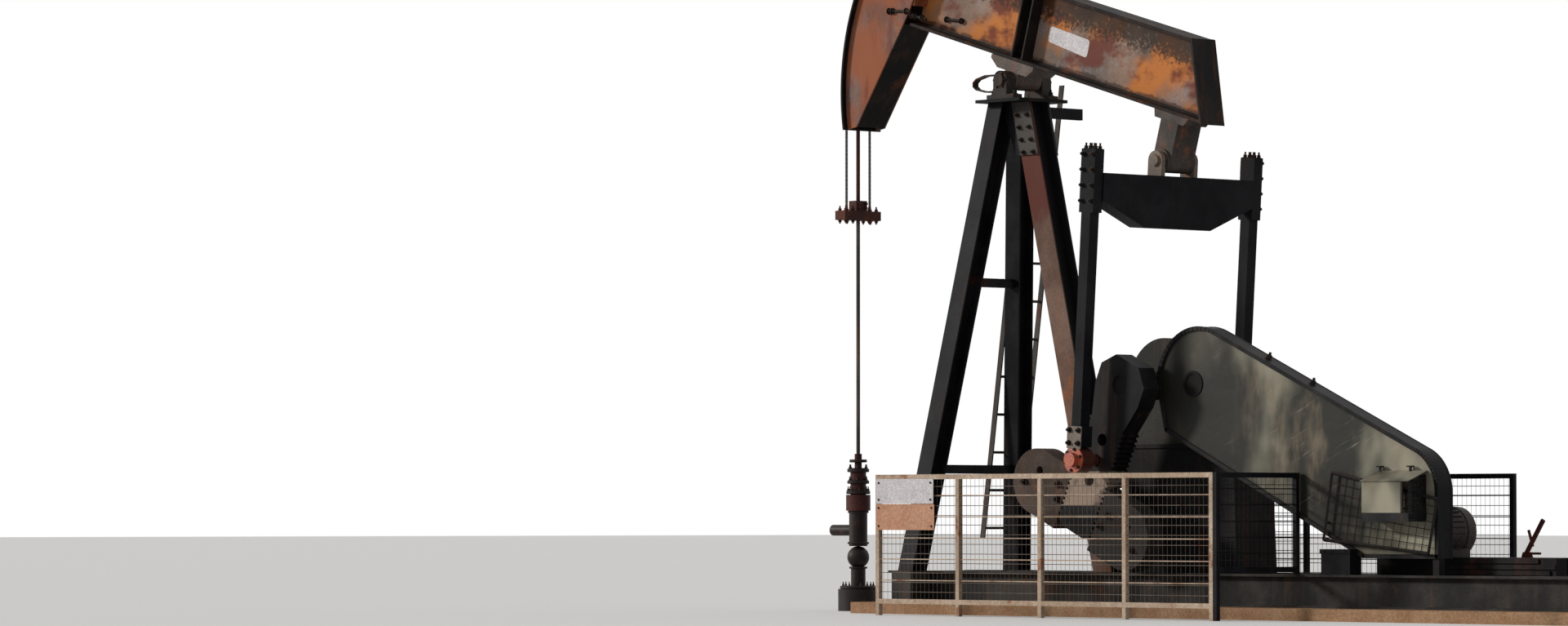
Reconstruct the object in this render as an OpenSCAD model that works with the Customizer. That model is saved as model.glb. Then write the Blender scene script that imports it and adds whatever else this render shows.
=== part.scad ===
// Beam pumping unit over a well, at real size in millimetres.
// X runs along the walking beam, with the well at -X and the motor at +X.
// Y runs across the unit. Z is up, and z = 0 is the ground under the pad.
// The origin is on the ground, straight below the saddle bearing.

/* [Walking beam] */
// Height of the saddle bearing axis above the ground
saddle_z = 4240; // [4200:10:4400]
// Tilt of the beam at rest, head up
beam_tilt = 16.3; // [15:0.1:17]
// Depth of the beam
beam_depth = 610; // [560:10:640]
// Width of the beam flanges
beam_w = 254; // [230:2:270]
// Thickness of the beam flanges
beam_flange = 24; // [18:1:30]
// Thickness of the beam web
beam_web = 18; // [12:1:24]
// Height of the beam underside over the saddle axis
beam_seat = 160; // [150:5:180]
// Distance from the saddle to the front end of the beam
beam_front = 1280; // [1240:10:1320]
// Distance from the saddle to the lower tail corner
beam_tail = 2125; // [2080:5:2180]
// How far the upper tail corner is set back
tail_rake = 282; // [200:2:320]

/* [Horsehead] */
// Radius of the rope face, measured from the saddle axis
head_r = 1918; // [1900:1:1940]
// Thickness of the rope face plate
face_t = 18; // [12:1:24]
// Width of the rope face plate
face_w = 411; // [380:1:440]
// Width of the box behind the face plate
head_w = 324; // [300:2:340]
// Thickness of the cheek plates
cheek_t = 12; // [8:1:16]
// Angle of the upper end of the face over the beam line
face_up = 29; // [26:1:32]
// Angle of the lower end of the face under the beam line
face_down = 25.5; // [24:0.5:27]

/* [Bridle and rod] */
// Diameter of a bridle rope
rope_d = 22; // [16:1:26]
// Distance between the two bridle ropes
rope_gap = 258; // [230:2:280]
// Height of the carrier bar underside at rest
carrier_z = 3200; // [3150:10:3300]
// Height of the carrier bar
carrier_h = 75; // [60:5:90]
// Length of the carrier bar
carrier_l = 400; // [360:10:440]
// Diameter of the polished rod
rod_d = 32; // [26:1:38]
// Height of the top of the stuffing box
stuffing_z = 1286; // [1250:2:1300]

/* [Tail bearing and pitmans] */
// Distance from the saddle axis to the tail bearing axis
tail_arm = 1819; // [1800:1:1840]
// Angle of the tail bearing under the horizontal at rest
tail_drop = 22.97; // [22.5:0.01:23.4]
// Diameter of the tail pin
tail_pin_d = 90; // [80:2:100]
// Half of the distance between the two pitmans
pitman_y = 880; // [870:2:900]
// Side of the pitman bar
pitman_w = 96; // [80:2:104]
// Length of the pitmans between their bearings
pitman_l = 2328; // [2300:1:2350]
// Height of the equalizer at its middle
equalizer_h = 410; // [360:10:440]
// Height of the equalizer at its ends
equalizer_end_h = 215; // [190:5:240]
// Thickness of the equalizer
equalizer_t = 170; // [140:5:200]

/* [Crank] */
// Distance of the crankshaft behind the saddle
crank_x = 1780; // [1770:5:1790]
// Height of the crankshaft above the ground
crank_z = 1780; // [1775:1:1800]
// Angle of the crank arms from straight down, toward the well
crank_angle = 24.5; // [22:0.5:27]
// Radius of the wrist pin
crank_r = 630; // [620:1:640]
// Length of the arm beyond the shaft
arm_l = 1240; // [1200:10:1260]
// Half width of the arm
arm_half_w = 180; // [160:2:190]
// Thickness of the arm
arm_t = 170; // [150:2:180]
// Gap between the gearbox centre plane and the inner face of an arm
arm_in = 530; // [525:1:550]
// Diameter of the crankshaft
shaft_d = 150; // [130:5:170]
// Pitch of the rack teeth on the edges of the arm
tooth_pitch = 60; // [50:2:70]
// Height of the rack teeth
tooth_h = 20; // [12:1:24]
// Reach of a counterweight to each side of the arm
weight_reach = 780; // [720:10:800]
// Radius at which a counterweight starts
weight_from = 790; // [780:5:820]
// Radius at which a counterweight ends
weight_to = 1300; // [1260:5:1310]

/* [Samson post] */
// Width of the front legs
leg_w = 160; // [140:2:170]
// Width of the rear leg
rear_leg_w = 200; // [180:2:204]
// Thickness of the leg flanges and webs
leg_t = 14; // [10:1:18]
// Height of the underside of the post cap
cap_z = 4065; // [4050:1:4075]
// Thickness of the post cap
cap_t = 25; // [20:1:28]
// Distance of the front feet ahead of the saddle
front_foot_x = 666; // [640:2:700]
// Distance of the front feet from the centre plane
front_foot_y = 580; // [560:2:600]
// Distance of the rear foot behind the saddle
rear_foot_x = 990; // [960:2:1010]

/* [Ladder] */
// Width of the ladder between its rails
ladder_w = 380; // [340:5:420]
// Spacing of the rungs
rung_step = 305; // [280:5:330]
// Height of the lower end of the ladder
ladder_foot_z = 600; // [560:10:640]

/* [Base] */
// Thickness of the concrete pad
pad_t = 90; // [60:5:120]
// Length of the pad
pad_l = 7500; // [7300:50:7700]
// Width of the pad
pad_w = 1700; // [1600:20:1800]
// Depth of the skid runners
runner_h = 250; // [220:5:260]
// Width of the skid runners
runner_w = 150; // [120:5:160]
// Distance between the runner centres
runner_gap = 840; // [800:10:880]

/* [Gearbox and drive] */
// Half width of the gear case
case_half_w = 220; // [200:2:230]
// Height of the pedestal top
pedestal_z = 1330; // [1300:5:1350]
// Radius of the gear case round the crankshaft
case_r = 370; // [350:5:380]
// Distance from the crankshaft to the input shaft
input_dx = 550; // [530:5:570]
// Near face of the belt guard, measured from the centre plane
guard_near = 400; // [380:2:420]
// Width of the belt guard
guard_t = 150; // [120:5:160]
// Radius of the large end of the belt guard
guard_r = 430; // [410:5:440]
// Rear end of the belt guard
guard_rear = 4770; // [4700:10:4800]

/* [Guard fence] */
// Height of the fence rails above the ground
fence_z = 1100; // [1000:10:1150]
// Distance of the fences from the centre plane
fence_y = 1300; // [1250:10:1350]
// Side of the fence tubes
fence_tube = 38; // [30:1:50]

/* [Hidden] */

fit = 0.3;
skid_z = pad_t + runner_h;
pad_x = -1100;
tail_x = tail_arm * cos(tail_drop);
tail_z = saddle_z - tail_arm * sin(tail_drop);
crank_pin_x = crank_x - crank_r * sin(crank_angle);
crank_pin_z = crank_z - crank_r * cos(crank_angle);
pitman_lean = atan((tail_x - crank_pin_x) / (tail_z - crank_pin_z));
rope_x = -(head_r + rope_d / 2 + fit);

// Children drawn in the frame of the beam: X along it, Z up from the saddle axis.
module on_beam() translate([0, 0, saddle_z]) rotate([0, beam_tilt, 0]) children();
// Children drawn in the frame of the pitmans: the origin on the tail pin, Z up along them.
module on_pitman() translate([tail_x, 0, tail_z]) rotate([0, pitman_lean, 0]) children();
// Children drawn in the frame of the cranks: the origin on the crankshaft, -Z along the arm.
module on_crank() translate([crank_x, 0, crank_z]) rotate([0, crank_angle, 0]) children();
// A profile drawn in X and Z, extruded along Y from y0 to y1.
module along_y(y0, y1) translate([0, y1, 0]) rotate([90, 0, 0]) linear_extrude(y1 - y0) children();
// A round bar along Y.
module rod_y(x, z, d, y0, y1) translate([x, y1, z]) rotate([90, 0, 0])
    cylinder(d = d, h = y1 - y0, $fn = 64);
// A box from its lowest to its highest corner.
module block(a, b) translate(a) cube(b - a);
// A straight bar in X and Z from a to b, with its thickness t on the left of that line.
module strip(a, b, t) {
    run = b - a;
    side = [-run.y, run.x] / norm(run) * t;
    polygon([a, b, b + side, a + side]);
}

// H section centred on the axis, with its flanges on the +Y and -Y sides.
module h_section(w, t) {
    square([t, w], center = true);
    for (side = [-1, 1]) translate([0, side * (w - t) / 2]) square([w, t], center = true);
}
// Children, a section, swept from a foot to a top and past both by the width w.
module sweep_leg(foot, top, w) {
    run = top - foot;
    lean = atan2(norm([run.x, run.y]), run.z);
    yaw = atan2(run.y, run.x);
    translate(foot) rotate([0, 0, yaw]) rotate([0, lean, 0]) rotate([0, 0, -yaw])
        translate([0, 0, -w]) linear_extrude(norm(run) + 2 * w) children();
}
// An H-section leg from its foot to its top, cut level at both ends.
module leg(foot, top, w) intersection() {
    sweep_leg(foot, top, w) h_section(w, leg_t);
    block([-3000, -3000, foot.z], [3000, 3000, top.z]);
}

beam_top = beam_seat + beam_depth;
// Distance of the tail plate from the saddle at a height over the beam line.
function tail_at(t) = beam_tail - tail_rake * (t - beam_seat) / beam_depth;
end_plate_t = 20;
// A layer of the beam seen from the side, run halfway into the tail plate.
module beam_layer(t0, t1) polygon([[-beam_front, t0], [tail_at(t0) + end_plate_t / 2, t0],
    [tail_at(t1) + end_plate_t / 2, t1], [-beam_front, t1]]);
module walking_beam() color("#8a5a3c") on_beam() {
    along_y(-beam_web / 2, beam_web / 2) beam_layer(beam_seat + beam_flange / 2, beam_top - beam_flange / 2);
    along_y(-beam_w / 2, beam_w / 2) beam_layer(beam_seat, beam_seat + beam_flange);
    along_y(-beam_w / 2, beam_w / 2) beam_layer(beam_top - beam_flange, beam_top);
    along_y(-beam_w / 2 - 4, beam_w / 2 + 4) polygon([[tail_at(beam_seat), beam_seat - 4],
        [tail_at(beam_seat) + end_plate_t, beam_seat - 4], [tail_at(beam_top) + end_plate_t, beam_top + 4],
        [tail_at(beam_top), beam_top + 4]]);
    for (x = [-60, 60, 1000]) block([x - 8, -beam_w / 2 + 8, beam_seat + beam_flange / 2],
        [x + 8, beam_w / 2 - 8, beam_top - beam_flange / 2]);
}

bracket_t = 90;
shaft_block_w = 140;
pin_d = 100;
pillow_in = 150;
pillow_out = 250;
module saddle_bracket() color("#6d5347") on_beam() difference() {
    union() {
        along_y(-beam_w / 2 - 13, beam_w / 2 + 13) polygon([[-260, beam_seat], [-260, beam_seat - 30],
            [-170, beam_seat - bracket_t], [170, beam_seat - bracket_t], [230, beam_seat - 30], [230, beam_seat]]);
        block([-75, -shaft_block_w, 0], [75, shaft_block_w, beam_seat - bracket_t]);
        rod_y(0, 0, 150, -shaft_block_w, shaft_block_w);
    }
    rod_y(0, 0, pin_d, -400, 400);
}
module saddle_shaft() color("#4a4643") translate([0, 0, saddle_z]) {
    rod_y(0, 0, pin_d, -pillow_out - 20, pillow_out + 20);
}
module saddle_bearings() color("#3c3836") for (side = [-1, 1]) {
    y0 = side < 0 ? -pillow_out : pillow_in;
    difference() {
        union() {
            block([-75, y0, cap_z + cap_t], [75, y0 + pillow_out - pillow_in, saddle_z]);
            block([-150, y0, cap_z + cap_t], [150, y0 + pillow_out - pillow_in, cap_z + cap_t + 35]);
            translate([0, 0, saddle_z]) rod_y(0, 0, 150, y0, y0 + pillow_out - pillow_in);
        }
        translate([0, 0, saddle_z]) rod_y(0, 0, pin_d + 2 * fit, -400, 400);
    }
}

// Points of the cheek's back edge, from the heel of the head up to the crown.
heel_in = 118;
heel = [-(head_r - heel_in) * cos(25.4), -(head_r - heel_in) * sin(25.4)];
throat = [-1271, 292];
under_beam = [-1315, 160];
crown_low = [-1180, 800];
crown_in = 26;
crown = [-(head_r - crown_in) * cos(32.26), (head_r - crown_in) * sin(32.26)];
cheek_r = head_r - face_t;
function on_face(a, r) = [-r * cos(a), r * sin(a)];
module head_outline(inset) intersection() {
    circle(r = cheek_r - inset, $fn = 360);
    offset_points = [heel, throat, crown_low, crown];
    polygon(concat([on_face(-face_down, 2 * head_r)], offset_points, [on_face(face_up, 2 * head_r)]));
}
module horsehead_cheeks() color("#9a6a48") on_beam() for (side = [-1, 1]) {
    y0 = side < 0 ? -head_w / 2 : head_w / 2 - cheek_t;
    along_y(y0, y0 + cheek_t) head_outline(0);
}
module horsehead_face() color("#3a3431") on_beam() along_y(-face_w / 2, face_w / 2) intersection() {
    difference() {
        circle(r = head_r, $fn = 360);
        circle(r = cheek_r, $fn = 360);
    }
    polygon([[0, 0], on_face(-face_down, 2 * head_r), [-3 * head_r, 0], on_face(face_up, 2 * head_r)]);
}
inner_head = head_w / 2 - cheek_t;
module horsehead_back() color("#2f2b29") on_beam() along_y(-inner_head, inner_head) {
    strip(heel, under_beam, 12);
    strip(crown_low, crown, 12);
}
module head_mounts() color("#5a4438") on_beam() for (side = [-1, 1], t = [beam_seat + 170, beam_top - 160]) {
    y0 = side < 0 ? -inner_head : beam_web / 2;
    block([-beam_front + 2, y0, t], [-beam_front + 40, y0 + inner_head - beam_web / 2, t + 100]);
}
rope_r = -rope_x;
// The ropes where they lie on the face, from their anchor down to where they leave it.
module head_ropes() color("#2b2724") on_beam() for (side = [-1, 1]) translate([0, side * rope_gap / 2, 0]) {
    rotate([-90, 0, 0]) rotate([0, 0, 180 - beam_tilt]) rotate_extrude(angle = face_up - 2 + beam_tilt, $fn = 360)
        translate([rope_r, 0]) circle(d = rope_d, $fn = 24);
}

housing_r = 95;
housing_half = 150;
function beam_x(x, z) = x * cos(beam_tilt) - z * sin(beam_tilt);
function beam_z(x, z) = x * sin(beam_tilt) + z * cos(beam_tilt);
tail_s = beam_x(tail_x, tail_z - saddle_z);
tail_t = beam_z(tail_x, tail_z - saddle_z);
module tail_bearing() color("#3c3836") on_beam() difference() {
    union() {
        rod_y(tail_s, tail_t, 2 * housing_r, -housing_half, housing_half);
        block([tail_s - housing_r, -housing_half + 20, tail_t], [tail_s + housing_r, housing_half - 20, beam_seat - 60]);
        along_y(-beam_w / 2, beam_w / 2) polygon([[tail_s - 190, beam_seat], [tail_s - 170, beam_seat - 60],
            [tail_s + 150, beam_seat - 60], [tail_s + 190, beam_seat]]);
    }
    rod_y(tail_s, tail_t, tail_pin_d + 2 * fit, -400, 400);
}

equalizer_drop = 120;
equalizer_end = pitman_y - pitman_w / 2;
module equalizer() color("#26262a") on_pitman() {
    half_bottom = 360;
    rotate([90, 0, 90]) translate([0, 0, -equalizer_t / 2]) linear_extrude(equalizer_t) polygon([
        [-equalizer_end, -equalizer_drop], [equalizer_end, -equalizer_drop],
        [equalizer_end, -equalizer_drop - equalizer_end_h], [half_bottom, -equalizer_drop - equalizer_h],
        [-half_bottom, -equalizer_drop - equalizer_h], [-equalizer_end, -equalizer_drop - equalizer_end_h]]);
}
lug_in = 160;
lug_t = 40;
module equalizer_lugs() color("#a8998a") on_pitman() for (side = [-1, 1]) {
    y0 = side < 0 ? -lug_in - lug_t : lug_in;
    difference() {
        union() {
            rod_y(0, 0, 150, y0, y0 + lug_t);
            block([-75, y0, -equalizer_drop], [75, y0 + lug_t, 0]);
        }
        rod_y(0, 0, tail_pin_d, -400, 400);
    }
}
module tail_pin() color("#a08c7c") on_pitman() rod_y(0, 0, tail_pin_d, -lug_in - lug_t - 20, lug_in + lug_t + 20);

pitman_head_h = 470;
module pitman(side) on_pitman() {
    y = side * pitman_y;
    block([-75, y - pitman_w / 2, -pitman_head_h + 40], [75, y + pitman_w / 2, 60]);
    block([-pitman_w / 2, y - pitman_w / 2, -pitman_l + 260], [pitman_w / 2, y + pitman_w / 2, -pitman_head_h + 40]);
    block([-75, y - pitman_w / 2 - 8, -pitman_l + 100], [75, y + pitman_w / 2 + 8, -pitman_l + 260]);
}
module pitman_near() color("#2b2b30") pitman(-1);
module pitman_far() color("#2b2b30") pitman(1);
pin_clear = 6;
arm_out = arm_in + arm_t;
module wrist_bearing(side) on_pitman() {
    y = side * pitman_y;
    rod_y(0, -pitman_l, 200, y - 65, y + 65);
    stub0 = side < 0 ? y + 65 : arm_out + pin_clear;
    stub1 = side < 0 ? -arm_out - pin_clear : y - 65;
    rod_y(0, -pitman_l, 90, stub0, stub1);
    cap0 = side < 0 ? y - 105 : y + 65;
    rod_y(0, -pitman_l, 110, cap0, cap0 + 40);
}
module wrist_bearing_near() color("#a33c34") wrist_bearing(-1);
module wrist_bearing_far() color("#a33c34") wrist_bearing(1);

rack_from = 330;
rack_count = floor((arm_l - 60 - rack_from) / tooth_pitch);
// One edge of the arm: rack teeth down one side, listed from the shaft outward.
function rack(side) = [for (i = [0 : rack_count - 1], p = [[0, 0], [0.15, 1], [0.45, 1], [0.6, 0]])
    [side * (arm_half_w + p[1] * tooth_h), -rack_from - (i + p[0]) * tooth_pitch]];
function reversed(list) = [for (i = [len(list) - 1 : -1 : 0]) list[i]];
hub_r = 240;
module crank_arm(side) on_crank() {
    y0 = side < 0 ? -arm_out : arm_in;
    along_y(y0, y0 + arm_t) difference() {
        union() {
            circle(r = hub_r, $fn = 96);
            polygon(concat([[-hub_r, 0]], rack(-1), [[-arm_half_w, -arm_l + 40], [-arm_half_w + 60, -arm_l],
                [arm_half_w - 60, -arm_l], [arm_half_w, -arm_l + 40]], reversed(rack(1)), [[hub_r, 0]]));
        }
        circle(d = shaft_d, $fn = 64);
        for (r = [crank_r - 170, crank_r, crank_r + 170]) translate([0, -r]) circle(d = 96, $fn = 48);
    }
}
module crank_near() color("#3a3a3d") crank_arm(-1);
module crank_far() color("#3a3a3d") crank_arm(1);
module crankshaft() color("#2a2a2a") translate([crank_x, 0, crank_z]) rod_y(0, 0, shaft_d, -arm_out + 10, arm_out - 10);

lobe_r = (weight_to - weight_from) / 2;
lobe_z = -(weight_to + weight_from) / 2;
lobe_in = arm_half_w + tooth_h + fit;
module weights(side) on_crank() {
    y0 = side < 0 ? -arm_out : arm_in;
    for (way = [-1, 1]) along_y(y0, y0 + arm_t) difference() {
        union() {
            translate([way * (weight_reach - lobe_r), lobe_z]) circle(r = lobe_r, $fn = 96);
            polygon([[way * lobe_in, -weight_from], [way * (weight_reach - lobe_r), -weight_from],
                [way * (weight_reach - lobe_r), -weight_to], [way * lobe_in, -weight_to]]);
        }
        translate([way * (weight_reach - lobe_r), lobe_z + 90]) circle(d = 70, $fn = 32);
    }
}
module weights_near() color("#8b7d70") weights(-1);
module weights_far() color("#4b4743") weights(1);

module carrier_bar() color("#5a241f") difference() {
    block([rope_x - 60, -carrier_l / 2, carrier_z], [rope_x + 60, carrier_l / 2, carrier_z + carrier_h]);
    translate([rope_x, 0, carrier_z - 10]) cylinder(d = rod_d + 2, h = carrier_h + 20, $fn = 48);
}
clamp_h = 85;
rod_top_z = 3960;
module rod_clamp() color("#4a3a33") {
    block([rope_x - 45, -60, carrier_z + carrier_h], [rope_x + 45, 60, carrier_z + carrier_h + clamp_h]);
    translate([rope_x, 0, carrier_z]) cylinder(d = rod_d, h = rod_top_z - carrier_z, $fn = 48);
}
// The length of rod that passes down into the well as the carrier comes down.
module polished_rod() color("#3a3836") translate([rope_x, 0, stuffing_z])
    cylinder(d = rod_d, h = carrier_z - stuffing_z, $fn = 48);
module bridle_ropes() color("#2b2724") for (side = [-1, 1])
    translate([rope_x, side * rope_gap / 2, carrier_z + carrier_h])
        cylinder(d = rope_d, h = saddle_z - carrier_z - carrier_h, $fn = 24);

front_top_x = 123;
front_top_y = 100;
rear_top_x = 90;
function front_foot(side) = [-front_foot_x, side * front_foot_y, skid_z];
function front_top(side) = [-front_top_x, side * front_top_y, cap_z];
module front_leg(side) leg(front_foot(side), front_top(side), leg_w);
// The room that the front legs take, with the clearance of what seats on them.
module front_leg_room() for (side = [-1, 1])
    sweep_leg(front_foot(side), front_top(side), leg_w) square(leg_w + 2 * fit, center = true);
module front_leg_near() color("#232327") front_leg(-1);
module front_leg_far() color("#232327") front_leg(1);
module rear_leg() color("#7d5a48") leg([rear_foot_x, 0, skid_z], [rear_top_x, 0, cap_z], rear_leg_w);
// Place of a front leg's axis at a height.
function front_x(z) = -front_top_x - (front_foot_x - front_top_x) * (cap_z - z) / (cap_z - skid_z);
function front_y(z) = front_top_y + (front_foot_y - front_top_y) * (cap_z - z) / (cap_z - skid_z);
brace_w = 70;
brace_low_z = 1150;
brace_high_z = 2640;
module leg_braces() color("#232327") for (z = [brace_low_z, brace_high_z]) difference() {
    block([front_x(z) - brace_w / 2, -front_y(z), z - brace_w / 2], [front_x(z) + brace_w / 2, front_y(z), z + brace_w / 2]);
    front_leg_room();
}
cap_front = 260;
cap_rear = 240;
module post_cap() color("#2b2827")
    block([-cap_front, -cap_half_w, cap_z], [cap_rear, cap_half_w, cap_z + cap_t]);
gusset_z = 3640;
gusset_t = 14;
gusset_lean = atan((front_foot_y - front_top_y) / (cap_z - skid_z));
// The two plates that tie the legs together under the cap, seated on the outer flanges.
module head_gussets() color("#5c5149") difference() {
    for (side = [-1, 1]) intersection() {
        translate([0, side * (front_top_y + leg_w / 2 / cos(gusset_lean)), cap_z])
            rotate([side * gusset_lean, 0, 0]) along_y(side < 0 ? -gusset_t : -10, side < 0 ? 10 : gusset_t)
                polygon([[-front_top_x - 150, gusset_z - cap_z - 20], [rear_top_x + 60, gusset_z - cap_z - 20],
                    [rear_top_x + 40, 40], [-front_top_x - 70, 40]]);
        block([-1000, -1000, gusset_z], [1000, 1000, cap_z]);
    }
    front_leg_room();
}

cap_half_w = pillow_out + 20;
ladder_off = 120;
ladder_top_z = 4250;
rail_w = 50;
rail_t = 12;
rung_d = 22;
ladder_y = cap_half_w + fit + (rail_t + ladder_w) / 2;
// The ladder lies parallel to the plane of the front legs, on their well side, against the edge of the cap.
module ladder() color("#6b625b") {
    foot = [front_x(ladder_foot_z) - ladder_off, ladder_foot_z];
    top = [front_x(ladder_top_z) - ladder_off, ladder_top_z];
    for (side = [-1, 1]) along_y(ladder_y + side * ladder_w / 2 - rail_t / 2, ladder_y + side * ladder_w / 2 + rail_t / 2)
        polygon([foot - [rail_w / 2, 0], foot + [rail_w / 2, 0], top + [rail_w / 2, 0], top - [rail_w / 2, 0]]);
    for (z = [ladder_foot_z + 80 : rung_step : ladder_top_z - 40])
        rod_y(front_x(z) - ladder_off, z, rung_d, ladder_y - ladder_w / 2 + rail_t / 2, ladder_y + ladder_w / 2 - rail_t / 2);
}
arm_h = 90;
module ladder_arm() color("#26231f") difference() {
    block([front_x(cap_z) - ladder_off + rail_w / 2 + fit, 195, cap_z - arm_h], [-front_top_x - 60, 860, cap_z]);
    front_leg_room();
    head_gussets();
}

module concrete_pad() color("#b7a58e") block([pad_x, -pad_w / 2, 0], [pad_x + pad_l, pad_w / 2, pad_t]);
skid_rear = 6200;
cross_half = 110;
rail_x0 = 3900;
rail_x1 = 5650;
case_x0 = crank_x - 430;
case_x1 = crank_x + input_dx + 270;
outrigger_y = 700;
module runner(y) {
    x0 = pad_x + 60;
    block([x0, y - runner_w / 2, pad_t], [skid_rear, y + runner_w / 2, pad_t + 18]);
    block([x0, y - 7, pad_t + 18], [skid_rear, y + 7, skid_z - 18]);
    block([x0, y - runner_w / 2, skid_z - 18], [skid_rear, y + runner_w / 2, skid_z]);
}
module skid_runners() color("#2a2a2c") for (side = [-1, 1]) runner(side * runner_gap / 2);
module skid_cross_members() color("#2f2f31") {
    inner = runner_gap / 2 - runner_w / 2;
    outer = runner_gap / 2 + runner_w / 2;
    for (x = [-front_foot_x, rear_foot_x, case_x0 + 150, case_x1 - 200, rail_x0, rail_x1 - 50,
        skid_rear - 100])
        block([x - cross_half, -inner, pad_t + 60], [x + cross_half, inner, skid_z]);
    for (side = [-1, 1]) block([-front_foot_x - cross_half, min(side * outer, side * outrigger_y), pad_t],
        [-front_foot_x + cross_half, max(side * outer, side * outrigger_y), skid_z]);
}

module gearbox_pedestal() color("#3a3b3d") {
    along_y(-case_half_w, case_half_w) polygon([[case_x0 + 60, skid_z], [case_x1 - 40, skid_z],
        [case_x1 - 90, pedestal_z - 30], [case_x0 + 20, pedestal_z - 30]]);
    block([case_x0 - 40, -case_half_w - 15, pedestal_z - 30], [case_x1 + 20, case_half_w + 15, pedestal_z]);
}
boss_d = 220;
module gear_case() color("#4d4c49") difference() {
    union() {
        block([case_x0, -case_half_w, pedestal_z], [case_x1, case_half_w, crank_z]);
        for (side = [-1, 1]) {
            y0 = side < 0 ? -arm_in + 15 : case_half_w;
            rod_y(crank_x, crank_z, boss_d, y0, y0 + arm_in - 15 - case_half_w);
        }
        input_hub();
    }
    rod_y(crank_x, crank_z, shaft_d + 2 * fit, -arm_in, arm_in);
}
// The bearing hub of the input shaft, which also carries the large end of the guard.
module input_hub() rod_y(crank_x + input_dx, crank_z, 180, -guard_near + guard_t + fit, -case_half_w);
module gear_case_cover() color("#5d5b57") difference() {
    intersection() {
        union() {
            rod_y(crank_x, crank_z, 2 * case_r, -case_half_w, case_half_w);
            rod_y(crank_x + input_dx, crank_z, 2 * 250, -case_half_w, case_half_w);
        }
        block([case_x0, -case_half_w, crank_z], [case_x1, case_half_w, crank_z + 600]);
    }
    rod_y(crank_x, crank_z, boss_d + 2 * fit, -arm_in, arm_in);
}

guard_c = [crank_x + input_dx, crank_z + 10];
guard_heel = guard_c - [345, 362];
guard_toe_x = 4026;
guard_floor = 467;
guard_small_r = 350;
guard_small_c = [guard_rear - guard_small_r, 950];
guard_up = [cos(65.7), sin(65.7)];
module belt_guard() color("#8d8c80") along_y(-guard_near, -guard_near + guard_t) {
    translate(guard_c) circle(r = guard_r, $fn = 128);
    translate(guard_small_c) circle(r = guard_small_r, $fn = 96);
    polygon([guard_c + guard_r * guard_up, guard_c - [guard_r, 0], guard_heel, [guard_toe_x, guard_floor],
        [guard_rear, guard_floor], guard_small_c + [guard_small_r, 0], guard_small_c + guard_small_r * guard_up]);
}
module guard_leg() color("#26262a") block([guard_rear - 60, -guard_near, skid_z], [guard_rear, -guard_near + 60, guard_floor]);

motor_x = 4250;
motor_z = 660;
motor_r = 185;
rail_top = 470;
module motor() color("#5d5552") {
    rod_y(motor_x, motor_z, 2 * motor_r, -190, 380);
    rod_y(motor_x, motor_z, 60, -guard_near + guard_t + fit, 0);
    block([motor_x - 150, -120, rail_top], [motor_x + 150, 360, motor_z - motor_r + 60]);
}
motor_rail_w = 120;
module motor_rails() color("#262626") for (y = [-motor_rail_w, 280])
    block([rail_x0, y, skid_z], [rail_x1, y + motor_rail_w, rail_top]);
lever_foot = [4930, rail_top];
lever_end = lever_foot + [180, 270];
module brake_lever() color("#3a2a28") along_y(370, 390) {
    strip(lever_foot, lever_end, 30);
    polygon([lever_foot - [40, 0], lever_foot + [60, 0], lever_foot + [45, 40], lever_foot + [-25, 40]]);
}

fence_foot = 110;
fence_x = -300;
fence_near_l = 3660;
fence_far_l = 4320;
fence_end_y = 420;
fence_wire = 8;
fence_wires = 5;
// A panel from its length, the heights of its post feet and the height of its lower rail.
module fence_panel(length, feet, foot) {
    posts = len(feet) - 1;
    for (z = [foot, fence_z - fence_tube / 2])
        block([0, -fence_tube / 2, z - fence_tube / 2], [length, fence_tube / 2, z + fence_tube / 2]);
    for (i = [0 : posts]) {
        x = i * (length - fence_tube) / posts;
        block([x, -fence_tube / 2, feet[i]], [x + fence_tube, fence_tube / 2, fence_z]);
    }
    for (i = [1 : fence_wires]) {
        z = foot + i * (fence_z - foot) / (fence_wires + 1);
        block([0, -fence_wire / 2, z - fence_wire / 2], [length, fence_wire / 2, z + fence_wire / 2]);
    }
}
module fence_near() color("#c2a88c") translate([fence_x, -fence_y, 0])
    fence_panel(fence_near_l, [0, 0, 0, 0, 0], fence_foot);
module fence_rear() color("#3a302c") 
    translate([fence_x + fence_near_l + fit + fence_tube / 2, -fence_y - fence_tube / 2, 0]) rotate([0, 0, 90])
        fence_panel(fence_y + fence_tube / 2 - fence_end_y, [0, skid_z], skid_z + fence_tube);
module fence_far() color("#3a302c") translate([fence_x, fence_y, 0])
    fence_panel(fence_far_l, [0, 0, 0, 0, 0], fence_foot);

casing_d = 330;
casing_h = 180;
neck_d = 120;
ball_z = 440;
ball_d = 180;
module casing_head() color("#3d3230") translate([rope_x, 0, 0]) {
    cylinder(d = casing_d, h = casing_h, $fn = 48);
    translate([0, 0, casing_h]) cylinder(d = neck_d, h = ball_z - ball_d / 2 + 10 - casing_h, $fn = 48);
    translate([0, 0, ball_z]) sphere(d = ball_d, $fn = 48);
}
tee_z = 660;
tee_d = 150;
tee_arm_d = 90;
tee_foot = ball_z + ball_d / 2;
tee_top = 820;
tee_reach = 300;
tee_bore_d = 62;
tee_bore_l = 200;
module pumping_tee() color("#3d3230") translate([rope_x, 0, 0]) difference() {
    union() {
        translate([0, 0, tee_foot]) cylinder(d = tee_d, h = tee_top - tee_foot, $fn = 48);
        translate([-tee_reach, 0, tee_z]) rotate([0, 90, 0]) cylinder(d = tee_arm_d, h = tee_reach, $fn = 48);
    }
    translate([-tee_reach - 10, 0, tee_z]) rotate([0, 90, 0]) cylinder(d = tee_bore_d, h = tee_bore_l + 10, $fn = 48);
}
box_flange_d = 200;
box_flange_top = 950;
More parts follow.
